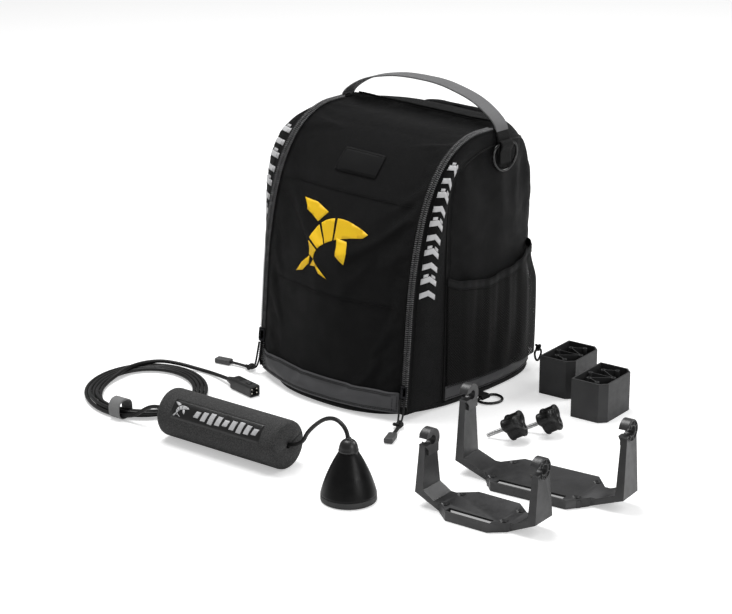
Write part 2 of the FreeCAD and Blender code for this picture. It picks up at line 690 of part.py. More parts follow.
def make_plug():
    spot = place(val("plug_x"), val("plug_y"), 0, val("plug_yaw"))
    half = val("plug_wide") / 2
    body = Part.makeBox(val("plug_long"), 2 * half, val("plug_high"), Vector(0, -half, 0))
    body = body.makeChamfer(2, [edge for edge in body.Edges if edge.Length > 45])
    mouth = Part.makeBox(9, 2 * half - 5, val("plug_high") - 5,
                         Vector(val("plug_long") - 9, -half + 2.5, 2.5))
    feature("plug_body", body.cut(mouth), spot)
    boot = Part.makeCone(val("cable_d") / 2 + 1, 7.5, val("boot_long") - 0.2,
                         Vector(-val("boot_long"), 0, val("plug_high") / 2), Vector(1, 0, 0))
    bore = Part.makeCylinder(val("cable_d") / 2, 4, Vector(-val("boot_long") - 1, 0, val("plug_high") / 2),
                             Vector(1, 0, 0))
    feature("plug_boot", boot.cut(bore), spot)
    pins = [Part.makeCylinder(1, 8, Vector(val("plug_long") - 9, dy, val("plug_high") / 2 + dz),
                              Vector(1, 0, 0)) for dy in (-4.2, 4.2) for dz in (-3, 3)]
    feature("plug_pins", Part.Compound(pins), spot)


def make_tie_strap():
    """The hook-and-loop tie round the coil's bundle."""
    angle, long, thick = val("tie_angle"), val("tie_long"), val("tie_thick")
    before, after = coil_point(angle - 3, 0.5, 0), coil_point(angle + 3, 0.5, 0)
    heading = math.degrees(math.atan2(after[1] - before[1], after[0] - before[0]))
    wide, high = val("coil_wide") + 2 * thick + 1, val("tie_high")
    outer = round_bar(long, wide, high, 0, 9)
    inner = round_bar(long + 2, wide - 2 * thick, high - 2 * thick, thick, 9 - thick)
    feature("tie_strap", outer.cut(inner), place(*coil_point(angle, 0.5, 0), heading))


def round_bar(long, wide, high, low, radius):
    """A bar along X with rounded long edges, centred in plan, from z = low."""
    bar = Part.makeBox(long, wide, high, Vector(-long / 2, -wide / 2, low))
    return bar.makeFillet(radius, [edge for edge in bar.Edges if abs(edge.Length - long) < 0.01])


def make_float():
    """The foam float: a cylinder along the cable, with a bore and a slit to clip it on."""
    yaw = val("float_yaw")
    start = Vector(*along_float(-val("float_long") / 2))
    spot = Placement(start, Rotation(Vector(0, 0, 1), yaw).multiply(Rotation(Vector(0, 1, 0), 90)))
    body = primitive("Part::Cylinder", "float_body", spot, Radius="float_r", Height="float_long")
    bore = primitive("Part::Cylinder", "float_bore", spot, Radius="float_bore_r", Height="float_long")
    slit = primitive("Part::Box", "float_slit", None, Length="float_r + 2",
                     Width="float_slit", Height="float_long")
    slit.Placement = spot.multiply(Placement(Vector(0, -1, 0), Rotation(Vector(0, 0, 1), 112)))
    keep(boolean("Part::Cut", "float", body, [bore, slit]), "float_foam")


# ---------------------------------------------------------------- brackets

def bracket_shape(half, slope_x, deep, post_z, hook_z, hole_x, hole_y):
    """A moulded U bracket: a hollow base on a skirt, sloping ends, tapered posts and hooks."""
    slope_z, bend_z = val("bracket_slope_z"), val("bracket_slope_z") + 5
    post, skirt, wall = val("bracket_post"), val("bracket_skirt"), val("bracket_wall")
    flat, near = half - slope_x, val("bracket_post_deep")
    foot = flat + val("bracket_foot_x")
    side = [(-flat, 0), (flat, 0), (half, slope_z), (half - 1.5, post_z), (half - post + 2, post_z),
            (half - post, bend_z), (foot, skirt), (-foot, skirt),
            (-half + post, bend_z), (-half + post - 2, post_z), (-half + 1.5, post_z),
            (-half, slope_z)]
    elevation = Part.makePolygon([Vector(x, -100, z) for x, z in side + side[:1]])
    body = extrude(elevation, (0, 200, 0))
    plan = [(-half - 1, -near), (-flat - 2, -near), (-flat + 20, -deep), (flat - 20, -deep),
            (flat + 2, -near), (half + 1, -near)]
    plan += [(x, -y) for x, y in reversed(plan)]
    outline = Part.makePolygon([Vector(x, y, -1) for x, y in plan + plan[:1]])
    body = body.common(extrude(outline, (0, 0, 300)))
    body = body.cut(post_taper(half, post_z, slope_z))
    body = body.cut(base_hollow(flat, near, deep, skirt, wall))
    reach = val("window_share") * flat
    body = body.cut(Part.makeBox(2 * reach, val("window_wide"), 40, Vector(-reach, wall - deep, -5)))
    bore, sink = val("bracket_hole_r"), val("sink_deep")
    for x in (-hole_x, hole_x):
        for y in (-hole_y, hole_y):
            boss = Part.makeCylinder(bore + sink + 1, skirt - wall + 0.5, Vector(x, y, 0))
            hole = Part.makeCylinder(bore, 60, Vector(x, y, -10))
            mouth = Part.makeCone(bore, bore + sink, sink, Vector(x, y, skirt - sink))
            body = body.fuse(boss).cut(hole).cut(mouth)
    for sign in SIDES:
        body = body.fuse(hook_shape(sign[1], half, hook_z))
        body = body.cut(hook_hollow(sign[1], half, hook_z))
    return body.removeSplitter()


def post_taper(half, post_z, slope_z):
    """What is trimmed from the front and back of both posts so that they narrow upwards."""
    near = val("bracket_post_deep")
    trims = []
    for sign in (-1, 1):
        points = [(sign * (near + 30), slope_z), (sign * near, slope_z), (sign * (near - 7), post_z),
                  (sign * (near - 7), post_z + 60), (sign * (near + 30), post_z + 60)]
        wire = Part.makePolygon([Vector(-half - 10, y, z) for y, z in points + points[:1]])
        trims.append(extrude(wire, (2 * half + 20, 0, 0)))
    return trims[0].fuse(trims[1])


def base_hollow(flat, near, deep, skirt, wall):
    """The open underside: the base is a tray turned upside down."""
    inner = [(-flat + 4, -near + wall + 1), (-flat + 22, -deep + wall), (flat - 22, -deep + wall),
             (flat - 4, -near + wall + 1)]
    inner += [(x, -y) for x, y in reversed(inner)]
    wire = Part.makePolygon([Vector(x, y, -1) for x, y in inner + inner[:1]])
    return extrude(wire, (0, 0, skirt - wall + 1))


def hook_shape(sign, half, hook_z):
    """A C-shaped hook on top of a post, with its mouth to the front."""
    wide, radius = val("hook_wide"), val("hook_r")
    start = Vector(sign * (half - 1.5) - (wide if sign > 0 else 0), 0, hook_z)
    disc = Part.makeCylinder(radius, wide, start, Vector(1, 0, 0))
    neck = Part.makeBox(wide, 22, radius + 4, Vector(start.x, -9, hook_z - radius - 4))
    return disc.fuse(neck)


def hook_hollow(sign, half, hook_z):
    wide = val("hook_wide") + 4
    start = Vector(sign * (half - 1.5) - (wide if sign > 0 else 0) + sign * 2, 0, hook_z)
    bore = Part.makeCylinder(val("hook_bore_r"), wide, start, Vector(1, 0, 0))
    mouth = Part.makeBox(wide, 40, val("hook_mouth"), Vector(start.x, -40, hook_z - val("hook_mouth") / 2))
    return bore.fuse(mouth)


def make_brackets():
    for name in ("small", "large"):
        size = [val("%s_%s" % (name, key)) for key in ("half", "slope_x", "deep", "post_z",
                                                       "hook_z", "hole_x", "hole_y")]
        spot = place(val(name + "_x"), val(name + "_y"), 0, val(name + "_yaw"))
        feature("bracket_" + name, bracket_shape(*size), spot)


# ---------------------------------------------------------------- riser blocks

BOSSES = [(7, -28), (-11, -19.5), (17, 0), (-20, 0), (-11, 19.5), (7, 28)]
RIBS = [(0, 1), (1, 2), (3, 2), (2, 4), (4, 5)]


def riser_outline(inset):
    half_x, half_y = val("riser_wide") / 2 - inset, val("riser_deep") / 2 - inset
    cut = val("riser_chamfer") - inset * 0.6
    return [(-half_x, -half_y), (half_x - cut, -half_y), (half_x, -half_y + cut),
            (half_x, half_y - cut), (half_x - cut, half_y), (-half_x, half_y)]


def padded(body, label, points, z, height, kind):
    """A Pad or Pocket of a closed outline drawn on the body's XY plane at a height."""
    sketch = body.newObject("Sketcher::SketchObject", label + "_sketch")
    plane = [f for f in body.Origin.OriginFeatures if f.Role == "XY_Plane"][0]
    sketch.AttachmentSupport = [(plane, "")]
    sketch.MapMode = "FlatFace"
    sketch.AttachmentOffset = Placement(Vector(0, 0, z), Rotation())
    corners = [Vector(x, y, 0) for x, y in points]
    for start, end in zip(corners, corners[1:] + corners[:1]):
        sketch.addGeometry(Part.LineSegment(start, end), False)
    step = body.newObject(kind, label)
    step.Profile = sketch
    bind(step, Length=height)
    body.Tip = step
    return step


def make_riser(name):
    """A moulded block, open at the top, whose inside is braced by six screw bosses."""
    spot = place(val("riser_%s_x" % name), val("riser_%s_y" % name), 0, val("riser_yaw"))
    body = doc.addObject("PartDesign::Body", "riser_body_" + name)
    padded(body, "riser_block_" + name, riser_outline(0), 0, "riser_high", "PartDesign::Pad")
    doc.recompute()
    hollow = padded(body, "riser_hollow_" + name, riser_outline(val("riser_wall")),
                    val("riser_high"), "riser_high - riser_wall", "PartDesign::Pocket")
    hollow.Reversed = False
    doc.recompute()
    posts, bores = [], []
    high, wall = val("riser_high"), val("riser_wall")
    for x, y in BOSSES:
        posts.append(Part.makeCylinder(val("boss_r"), high - wall - 1, Vector(x, y, wall - 0.5)))
        bores.append(Part.makeCylinder(val("boss_bore_r"), high, Vector(x, y, wall + 4)))
    for a, b in RIBS:
        posts.append(rib(BOSSES[a], BOSSES[b], high - wall - 1, wall - 0.5))
    web = posts[0].multiFuse(posts[1:])
    solid = body.Shape.fuse(web).cut(bores[0].multiFuse(bores[1:])).removeSplitter()
    feature("riser_" + name, solid, spot)


def rib(start, end, height, low):
    """A thin upright rib between two bosses."""
    across = Vector(end[0] - start[0], end[1] - start[1], 0)
    plate = Part.makeBox(across.Length, 1.4, height, Vector(0, -0.7, 0))
    angle = math.degrees(math.atan2(across.y, across.x))
    plate.Placement = place(start[0], start[1], low, angle)
    return plate


# ---------------------------------------------------------------- clamp knobs

def make_knob(name):
    """A three-lobed knob lying on a lobe and on the tip of its threaded stud."""
    lying = Rotation(Vector(0, 1, 0), 90 + val("knob_tilt"))
    aim = Rotation(Vector(0, 0, 1), val("knob_yaw")).multiply(lying)
    root = Vector(val("knob_%s_x" % name), val("knob_%s_y" % name), val("knob_z"))
    spot = Placement(root, aim)
    thick = val("knob_thick")
    hub = primitive("Part::Cylinder", "knob_hub_" + name, place(0, 0, -thick), Radius="knob_r",
                    Height="knob_thick")
    lobes = []
    for count in range(3):
        angle = math.radians(120 * count)
        centre = place(val("knob_reach") * math.cos(angle), val("knob_reach") * math.sin(angle), -thick)
        lobes.append(primitive("Part::Cylinder", "knob_lobe_%s_%d" % (name, count), centre,
                               Radius="knob_lobe_r", Height="knob_thick"))
    shape = boolean("Part::MultiFuse", "knob_" + name, hub, lobes)
    keep(shape, "knob_" + name, spot)
    stud = primitive("Part::Cylinder", "knob_stud_" + name, None, Radius="stud_d / 2", Height="stud_long")
    keep(stud, "knob_stud_" + name, spot)


# ---------------------------------------------------------------- build, check, export

make_bag_shell()
make_zippers()
make_flap()
make_seam_piping()
make_pockets()
make_handle()
make_ring_loops()
make_rings()
make_rear_cord_loop()
make_sliders()
make_transducer()
make_cable()
make_plug()
make_tie_strap()
make_float()
make_brackets()
for which in ("front", "rear"):
    make_riser(which)
    make_knob(which)
doc.recompute()

for obj in doc.Objects:
    bad = [word for word in obj.State if word in ("Invalid", "Error")]
    if bad:
        raise SystemExit("%s is %s" % (obj.Label, bad))

os.makedirs("parts", exist_ok=True)
for obj in exported:
    shape = obj.Shape
    if shape.isNull() or not shape.isValid():
        raise SystemExit("%s has no valid shape" % obj.Label)
    shape.exportStep("parts/%s.step" % obj.Label)
print("sub-parts:", len(exported))
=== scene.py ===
import bmesh
import bpy
import math
from mathutils import Matrix, Vector, noise


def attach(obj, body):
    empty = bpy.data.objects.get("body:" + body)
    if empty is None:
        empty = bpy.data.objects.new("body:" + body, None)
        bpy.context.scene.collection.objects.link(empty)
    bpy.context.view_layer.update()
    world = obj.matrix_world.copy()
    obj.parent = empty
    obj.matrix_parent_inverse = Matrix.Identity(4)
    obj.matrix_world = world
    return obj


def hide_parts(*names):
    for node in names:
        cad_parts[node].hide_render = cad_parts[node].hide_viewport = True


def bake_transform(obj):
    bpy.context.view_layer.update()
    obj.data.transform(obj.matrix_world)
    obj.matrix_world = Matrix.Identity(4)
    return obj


# Looks of the portable ice-fishing kit: a black carrying bag with a zipped front flap, a sonar
# transducer on its coiled cable with a foam float, two brackets, two riser blocks and two knobs.
# Metres, +Z up, the bag's front faces -Y.  Lengths written with * MM are millimetres.

MM = 0.001
SIDES = (("left", -1), ("right", 1))
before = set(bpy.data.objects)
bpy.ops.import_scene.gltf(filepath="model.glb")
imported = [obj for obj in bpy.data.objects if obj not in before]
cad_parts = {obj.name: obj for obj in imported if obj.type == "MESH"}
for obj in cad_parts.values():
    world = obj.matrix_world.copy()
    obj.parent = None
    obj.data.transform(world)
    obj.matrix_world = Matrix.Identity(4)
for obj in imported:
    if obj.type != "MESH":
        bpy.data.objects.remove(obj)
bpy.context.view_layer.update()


# ------------------------------------------------------------ camera, lights, floor

CAMERA_AT = Vector((2.1299, -2.3539, 1.187))
CAMERA_AIM = Vector((-0.6452, 0.6918, -0.3242))
LENS, SENSOR = 113.1, 36.0
FLOOR_HALF, FLOOR_DROP = 6.0, 0.4 * MM
FLOOR_GLOW = 0.42                    # the floor's own light, which only the camera sees
SKY_LIGHT, SKY_SEEN = 0.28, 0.74     # the surround's light, and what the camera sees on top
LAMPS = (("key", (-0.7, -0.1, 2.7), (0.1, -0.1, 0.1), 1.8, 66),
         ("rim", (1.2, 2.2, 1.9), (0, 0, 0.2), 1.4, 34),
         ("side", (2.7, -0.3, 1.1), (0.2, -0.2, 0.1), 1.2, 17))


def make_camera():
    """The photograph's three-quarter view from the front right, a little above."""
    data = bpy.data.cameras.new("camera")
    data.lens, data.sensor_width = LENS, SENSOR
    camera = bpy.data.objects.new("camera", data)
    bpy.context.collection.objects.link(camera)
    camera.location = CAMERA_AT
    camera.rotation_euler = CAMERA_AIM.to_track_quat("-Z", "Y").to_euler()
    bpy.context.scene.camera = camera


def area_light(name, place, target, size, power):
    """A round soft light that faces a target."""
    data = bpy.data.lights.new(name, "AREA")
    data.shape, data.size, data.energy = "DISK", size, power
    lamp = bpy.data.objects.new(name, data)
    bpy.context.collection.objects.link(lamp)
    lamp.location = place
    lamp.rotation_euler = (Vector(target) - Vector(place)).to_track_quat("-Z", "Y").to_euler()


def make_studio():
    """A pale seamless floor, an even white surround and three soft lights."""
    mesh = bpy.data.meshes.new("studio_floor")
    corners = [(x * FLOOR_HALF, y * FLOOR_HALF, 0) for x, y in ((-1, -1), (1, -1), (1, 1), (-1, 1))]
    mesh.from_pydata(corners, [], [(0, 1, 2, 3)])
    floor = bpy.data.objects.new("studio_floor", mesh)
    bpy.context.collection.objects.link(floor)
    floor.location.z = -FLOOR_DROP
    paint = plain("studio_floor", (0.90, 0.90, 0.90), 0.6)
    tree, shader = parts_of(paint)
    shader.inputs["Emission Color"].default_value = (1, 1, 1, 1)
    seen = node(tree, "LightPath").outputs["Is Camera Ray"]
    tree.links.new(maths(tree, "MULTIPLY", seen, FLOOR_GLOW), shader.inputs["Emission Strength"])
    mesh.materials.append(paint)
    world = bpy.data.worlds.new("studio")
    bpy.context.scene.world = world
    world.use_nodes = True
    tree = world.node_tree
    tree.nodes["Background"].inputs["Color"].default_value = (1, 1, 1, 1)
    seen = maths(tree, "MULTIPLY", node(tree, "LightPath").outputs["Is Camera Ray"], SKY_SEEN)
    tree.links.new(maths(tree, "ADD", seen, SKY_LIGHT), tree.nodes["Background"].inputs["Strength"])
    for lamp in LAMPS:
        area_light(*lamp)
    bpy.context.scene.view_settings.view_transform = "Standard"


# ---------------------------------------------------------------- materials

def node(tree, kind, inputs=None, **props):
    """A shader node with its inputs set or linked."""
    made = tree.nodes.new("ShaderNode" + kind)
    for key, value in props.items():
        setattr(made, key, value)
    for key, value in (inputs or {}).items():
        if isinstance(value, bpy.types.NodeSocket):
            tree.links.new(value, made.inputs[key])
        else:
            made.inputs[key].default_value = value
    return made


def maths(tree, operation, a, b=0.0):
    return node(tree, "Math", {0: a, 1: b}, operation=operation).outputs[0]


def plain(name, colour, roughness):
    """A material of one colour, for the looks below to build on."""
    material = bpy.data.materials.new(name)
    material.use_nodes = True
    shader = material.node_tree.nodes["Principled BSDF"]
    shader.inputs["Base Color"].default_value = (*colour, 1)
    shader.inputs["Roughness"].default_value = roughness
    return material


def parts_of(material):
    """A material's node tree and its shader."""
    return material.node_tree, material.node_tree.nodes["Principled BSDF"]


def place_of(tree, use_uv):
    """Coordinates in metres: along the cloth where a piece has them, else in space."""
    if use_uv:
        return node(tree, "UVMap").outputs["UV"]
    return node(tree, "TexCoord").outputs["Object"]


def noise_at(tree, place, scale, detail=3.0):
    made = node(tree, "TexNoise", {"Vector": place, "Scale": scale, "Detail": detail})
    return made.outputs["Fac"]


def between(tree, factor, low, high, colours):
    """A colour between two, as factor goes from low to high."""
    ramp = node(tree, "ValToRGB", {"Fac": factor})
    ramp.color_ramp.elements[0].position, ramp.color_ramp.elements[1].position = low, high
    for stop, colour in zip(ramp.color_ramp.elements, colours):
        stop.color = (*colour, 1)
    return ramp.outputs["Color"]


def stretch(tree, factor, low, high):
    """A noise spread between two values."""
    made = node(tree, "MapRange", {"Value": factor, "From Min": 0.3, "From Max": 0.7,
                                   "To Min": low, "To Max": high})
    return made.outputs["Result"]


def set_bump(tree, shader, height, distance, strength=1.0):
    made = node(tree, "Bump", {"Height": height, "Distance": distance, "Strength": strength})
    tree.links.new(made.outputs["Normal"], shader.inputs["Normal"])


def threads(tree, place, pitch, across=1.0):
    """The height of a plain weave whose threads are pitch apart."""
    split = node(tree, "SeparateXYZ", {"Vector": place})
    turn = 2 * math.pi / pitch
    along = maths(tree, "ADD", split.outputs["X"], split.outputs["Z"])
    over = maths(tree, "SINE", maths(tree, "MULTIPLY", along, turn))
    under = maths(tree, "SINE", maths(tree, "MULTIPLY", split.outputs["Y"], turn * across))
    return maths(tree, "ADD", maths(tree, "MULTIPLY", over, under), 1.0)


def cloth_look(name, dark, light, pitch, roughness=0.62, sheen=0.03, depth=0.25, use_uv=True,
               across=1.0):
    """Woven cloth: threads, slubs, uneven dye and a soft sheen."""
    material = plain(name, dark, roughness)
    tree, shader = parts_of(material)
    place = place_of(tree, use_uv)
    weave = threads(tree, place, pitch, across)
    slub = noise_at(tree, place, 900.0, 2.0)
    dye = noise_at(tree, place, 26.0, 4.0)
    shade = maths(tree, "ADD", maths(tree, "MULTIPLY", weave, 0.30), maths(tree, "MULTIPLY", dye, 0.7))
    tree.links.new(between(tree, shade, 0.28, 0.95, (dark, light)), shader.inputs["Base Color"])
    tree.links.new(stretch(tree, dye, roughness - 0.08, roughness + 0.1), shader.inputs["Roughness"])
    shader.inputs["Sheen Weight"].default_value = sheen
    shader.inputs["Sheen Roughness"].default_value = 0.45
    shader.inputs["Specular IOR Level"].default_value = 0.11
    height = maths(tree, "ADD", weave, maths(tree, "MULTIPLY", slub, 0.8))
    set_bump(tree, shader, height, depth * MM)
    return material


def moulded_look(name, dark, light, roughness, grain=1400.0, depth=0.05, edge_highlight=0.5, shine=0.5):
    """Moulded plastic: a fine spark-eroded grain, faint flow marks and a painted highlight on its sharp
    convex edges.
    """
    material = plain(name, dark, roughness)
    tree, shader = parts_of(material)
    place = place_of(tree, False)
    flow = noise_at(tree, place, 38.0, 4.0)
    colour = between(tree, flow, 0.3, 0.75, (dark, light))
    # sharp convex edges (high pointiness) are mixed toward a much lighter grey: painted highlight
    edge = node(tree, "NewGeometry").outputs["Pointiness"]
    edge_highlight_mask = node(tree, "MapRange", {"Value": edge, "From Min": 0.52, "From Max": 0.62,
                                  "To Min": 0.0, "To Max": edge_highlight}).outputs["Result"]
    highlight_colour = tuple(0.03 + 2.0 * part for part in light)
    mixed = node(tree, "Mix", {0: edge_highlight_mask, 6: colour, 7: (*highlight_colour, 1)}, data_type="RGBA")
    tree.links.new(mixed.outputs[2], shader.inputs["Base Color"])
    tree.links.new(stretch(tree, noise_at(tree, place, 120.0), roughness - 0.06, roughness + 0.08),
                   shader.inputs["Roughness"])
    shader.inputs["Specular IOR Level"].default_value = shine
    set_bump(tree, shader, noise_at(tree, place, grain, 2.0), depth * MM)
    return material


def foam_look(name, dark, light):
    """Closed-cell foam: small open pores over a soft grey skin."""
    material = plain(name, dark, 0.9)
    tree, shader = parts_of(material)
    place = place_of(tree, False)
    cells = node(tree, "TexVoronoi", {"Vector": place, "Scale": 700.0}).outputs["Distance"]
    speck = noise_at(tree, place, 900.0, 3.0)
    mix = maths(tree, "ADD", maths(tree, "MULTIPLY", cells, 0.5), maths(tree, "MULTIPLY", speck, 0.75))
    tree.links.new(between(tree, mix, 0.42, 0.82, (dark, light)), shader.inputs["Base Color"])
    set_bump(tree, shader, mix, 0.45 * MM)
    return material


def metal_look(name, colour, roughness):
    """Metal: brushed unevenly and very slightly pitted."""
    material = plain(name, colour, roughness)
    tree, shader = parts_of(material)
    shader.inputs["Metallic"].default_value = 1.0
    place = place_of(tree, False)
    tree.links.new(stretch(tree, noise_at(tree, place, 300.0), roughness - 0.08, roughness + 0.12),
                   shader.inputs["Roughness"])
    set_bump(tree, shader, noise_at(tree, place, 2400.0), 0.02 * MM)
    return material


def strand_look(name, dark, light, pitch):
    """Braided cord: plaits that cross round it, over its coordinates in space."""
    material = plain(name, dark, 0.75)
    tree, shader = parts_of(material)
    place = place_of(tree, False)
    plait = node(tree, "TexVoronoi", {"Vector": place, "Scale": 1.0 / pitch}).outputs["Distance"]
    tree.links.new(between(tree, plait, 0.1, 0.7, (light, dark)), shader.inputs["Base Color"])
    set_bump(tree, shader, plait, -0.5 * MM)
    return material


def grey(level, blue=None):
    """A grey, with a blue part of its own where the black is a cold one."""
    return (level, level, level if blue is None else blue)


LOOK = {
    "bag": cloth_look("bag_cloth", grey(0.0018, 0.0020), grey(0.0056, 0.0060), 1.1 * MM, sheen=0.02),
    "lining": cloth_look("lining_cloth", grey(0.01), grey(0.02), 0.9 * MM, use_uv=False),
    "binding": cloth_look("binding_tape", grey(0.007, 0.0075), grey(0.016, 0.0165), 1.6 * MM,
                          depth=0.35, across=0.5),
    "piping": cloth_look("piping_cord", grey(0.0025), grey(0.007), 1.2 * MM, 0.5, use_uv=False),
    "net": cloth_look("pocket_net", grey(0.004), grey(0.013), 0.8 * MM, 0.5),
    "band": cloth_look("grey_band", grey(0.062, 0.064), grey(0.100, 0.104), 2.6 * MM, 0.36, depth=0.04),
    "strap": cloth_look("grey_webbing", grey(0.120, 0.122), grey(0.185, 0.188), 2.4 * MM, 0.6,
                        depth=0.3, across=0.6),
    "webbing": cloth_look("black_webbing", grey(0.003), grey(0.010), 2.4 * MM, depth=0.35, across=0.6),
    "webbing_plain": cloth_look("black_webbing_plain", grey(0.004), grey(0.012), 2.4 * MM,
                                depth=0.35, use_uv=False),
    "hooks": cloth_look("hook_tape", grey(0.0016, 0.0018), grey(0.0055, 0.0058), 1.9 * MM, 0.6,
                        depth=0.5),
    "tie": cloth_look("tie_tape", grey(0.22), grey(0.34), 1.5 * MM, 0.8, 0.1, depth=0.3),
    "thread": cloth_look("stitch_thread", grey(0.005), grey(0.012), 0.5 * MM, use_uv=False),
    "print": moulded_look("print_pale", grey(0.50, 0.51), grey(0.60, 0.61), 0.55, edge_highlight=0.0),
    "emblem": moulded_look("print_yellow", (0.98, 0.58, 0.002), (1.0, 0.64, 0.003), 0.6, edge_highlight=0.0),
    "label": moulded_look("float_label", grey(0.004), grey(0.008), 0.35, edge_highlight=0.0),
    # the coil's grey, far lighter than the black tape, is painted highlight standing for the glints on
    # its teeth
    "coil": moulded_look("zip_coil", grey(0.050, 0.051), grey(0.095, 0.097), 0.25, edge_highlight=0.5),
    "slider": metal_look("slider_metal", grey(0.020, 0.022), 0.22),
    "cord": strand_look("pull_cord", grey(0.002), grey(0.012), 1.1 * MM),
    "grip": moulded_look("grip_plastic", grey(0.050), grey(0.075), 0.5),
    "ring": moulded_look("ring_plastic", grey(0.003), grey(0.006), 0.26, edge_highlight=0.2),
    "cone": moulded_look("transducer_shell", grey(0.0030, 0.0032), grey(0.005), 0.34, depth=0.01,
                         edge_highlight=0.1, shine=0.2),
    "foot": moulded_look("transducer_foot", grey(0.020), grey(0.032), 0.55),
    "cap": moulded_look("transducer_cap", grey(0.009), grey(0.016), 0.36, depth=0.02),
    "potting": moulded_look("potting", grey(0.010), grey(0.018), 0.5),
    "ceramic": moulded_look("ceramic", (0.45, 0.44, 0.40), (0.55, 0.54, 0.50), 0.5),
    "cable": moulded_look("cable_jacket", grey(0.008), grey(0.015), 0.44, grain=900.0, depth=0.06,
                          edge_highlight=0.0, shine=0.3),
    "plug": moulded_look("plug_plastic", grey(0.008), grey(0.015), 0.36),
    "contact": metal_look("contact_metal", (0.72, 0.68, 0.60), 0.3),
    "foam": foam_look("float_foam", grey(0.014), grey(0.060)),
    "bracket": moulded_look("bracket_plastic", grey(0.019, 0.0195), grey(0.034, 0.035), 0.38,
                            depth=0.07),
    "riser": moulded_look("riser_plastic", grey(0.022, 0.0225), grey(0.036, 0.037), 0.45,
                          depth=0.09, shine=0.3),
    # near-black sheet for the hubs' recess: painted shade
    "recess_painted_shade": moulded_look("hub_recess_painted_shade", grey(0.0015), grey(0.003), 0.7, edge_highlight=0.0),
    "knob": moulded_look("knob_plastic", grey(0.005), grey(0.010), 0.34, shine=0.3),
    "steel": metal_look("stud_steel", grey(0.60), 0.28),
}


# ---------------------------------------------------------------- mesh helpers

def add_piece(name, mesh, look, body, smooth=True):
    """Put a mesh in the scene with its material and let it ride on a CAD body, if it names one."""
    piece = bpy.data.objects.new(name, mesh)
    bpy.context.collection.objects.link(piece)
    if not mesh.materials:
        mesh.materials.append(LOOK[look])
    mesh.polygons.foreach_set("use_smooth", [smooth] * len(mesh.polygons))
    if body:
        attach(piece, body)
    return piece


def freeze(piece):
    """Apply a piece's modifiers to its mesh."""
    graph = bpy.context.evaluated_depsgraph_get()
    mesh = bpy.data.meshes.new_from_object(piece.evaluated_get(graph))
    piece.modifiers.clear()
    piece.data = mesh


def finish_with(piece, **modifiers):
    """Add modifiers, each a kind and its settings, and apply them."""
    for kind, settings in modifiers.items():
        made = piece.modifiers.new(kind, kind)
        for key, value in settings.items():
            setattr(made, key, value)
    freeze(piece)
    return piece


def mesh_of(verts, faces, name):
    """A checked mesh."""
    mesh = bpy.data.meshes.new(name)
    mesh.from_pydata([tuple(vert) for vert in verts], [], faces)
    mesh.validate()
    mesh.update()
    return mesh


def metres(points):
    """Points given in millimetres, in metres."""
    return [Vector(p) * MM for p in points]


def span(low, high, count=80):
    """Evenly spread values with both ends."""
    return [low + (high - low) * k / (count - 1) for k in range(count)]


def length_of(points):
    return sum((b - a).length for a, b in zip(points, points[1:]))


def ring_points(radius, steps, height):
    """Points round the Z axis at a height."""
    turns = [2 * math.pi * i / steps for i in range(steps)]
    return [Vector((radius * math.cos(turn), radius * math.sin(turn), height)) for turn in turns]


def skin_faces(rows, steps, closed=False):
    """Outward faces over rows of rings that turn left round their way, with their two caps."""
    faces = []
    for k in range(rows if closed else rows - 1):
        n = (k + 1) % rows
        for i in range(steps):
            j = (i + 1) % steps
            faces.append((k * steps + i, k * steps + j, n * steps + j, n * steps + i))
    if not closed:
        faces.append(tuple(reversed(range(steps))))
        faces.append(tuple((rows - 1) * steps + i for i in range(steps)))
    return faces


def resample(points, count):
    """count points spread evenly along a line."""
    reach = [0.0]
    for before, after in zip(points, points[1:]):
        reach.append(reach[-1] + (after - before).length)
    made, k = [], 0
    for i in range(count):
        want = reach[-1] * i / (count - 1)
        while k < len(points) - 2 and reach[k + 1] < want:
            k += 1
        span = max(reach[k + 1] - reach[k], 1e-9)
        made.append(points[k].lerp(points[k + 1], (want - reach[k]) / span))
    return made


def smooth_line(points, count):
    """count points spread evenly along a smooth curve through the given ones."""
    nodes = [Vector(p) for p in points]
    ends = [2 * nodes[0] - nodes[1]] + nodes + [2 * nodes[-1] - nodes[-2]]
    fine = []
    for a, b, c, d in zip(ends, ends[1:], ends[2:], ends[3:]):
        for step in range(12):
            s = step / 12
            fine.append(0.5 * (2 * b + (c - a) * s + (2 * a - 5 * b + 4 * c - d) * s * s
                               + (3 * b - a - 3 * c + d) * s ** 3))
    return resample(fine + [nodes[-1]], count)


def smoothstep(low, high, x):
    """A soft step from 0 at low to 1 at high."""
    s = min(max((x - low) / (high - low), 0.0), 1.0)
    return s * s * (3 - 2 * s)


def blend_of(table, x):
    """A value read from a table of (x, value) pairs, eased between them."""
    if x <= table[0][0]:
        return table[0][1]
    for (x0, v0), (x1, v1) in zip(table, table[1:]):
        if x <= x1:
            return v0 + (v1 - v0) * smoothstep(x0, x1, x)
    return table[-1][1]


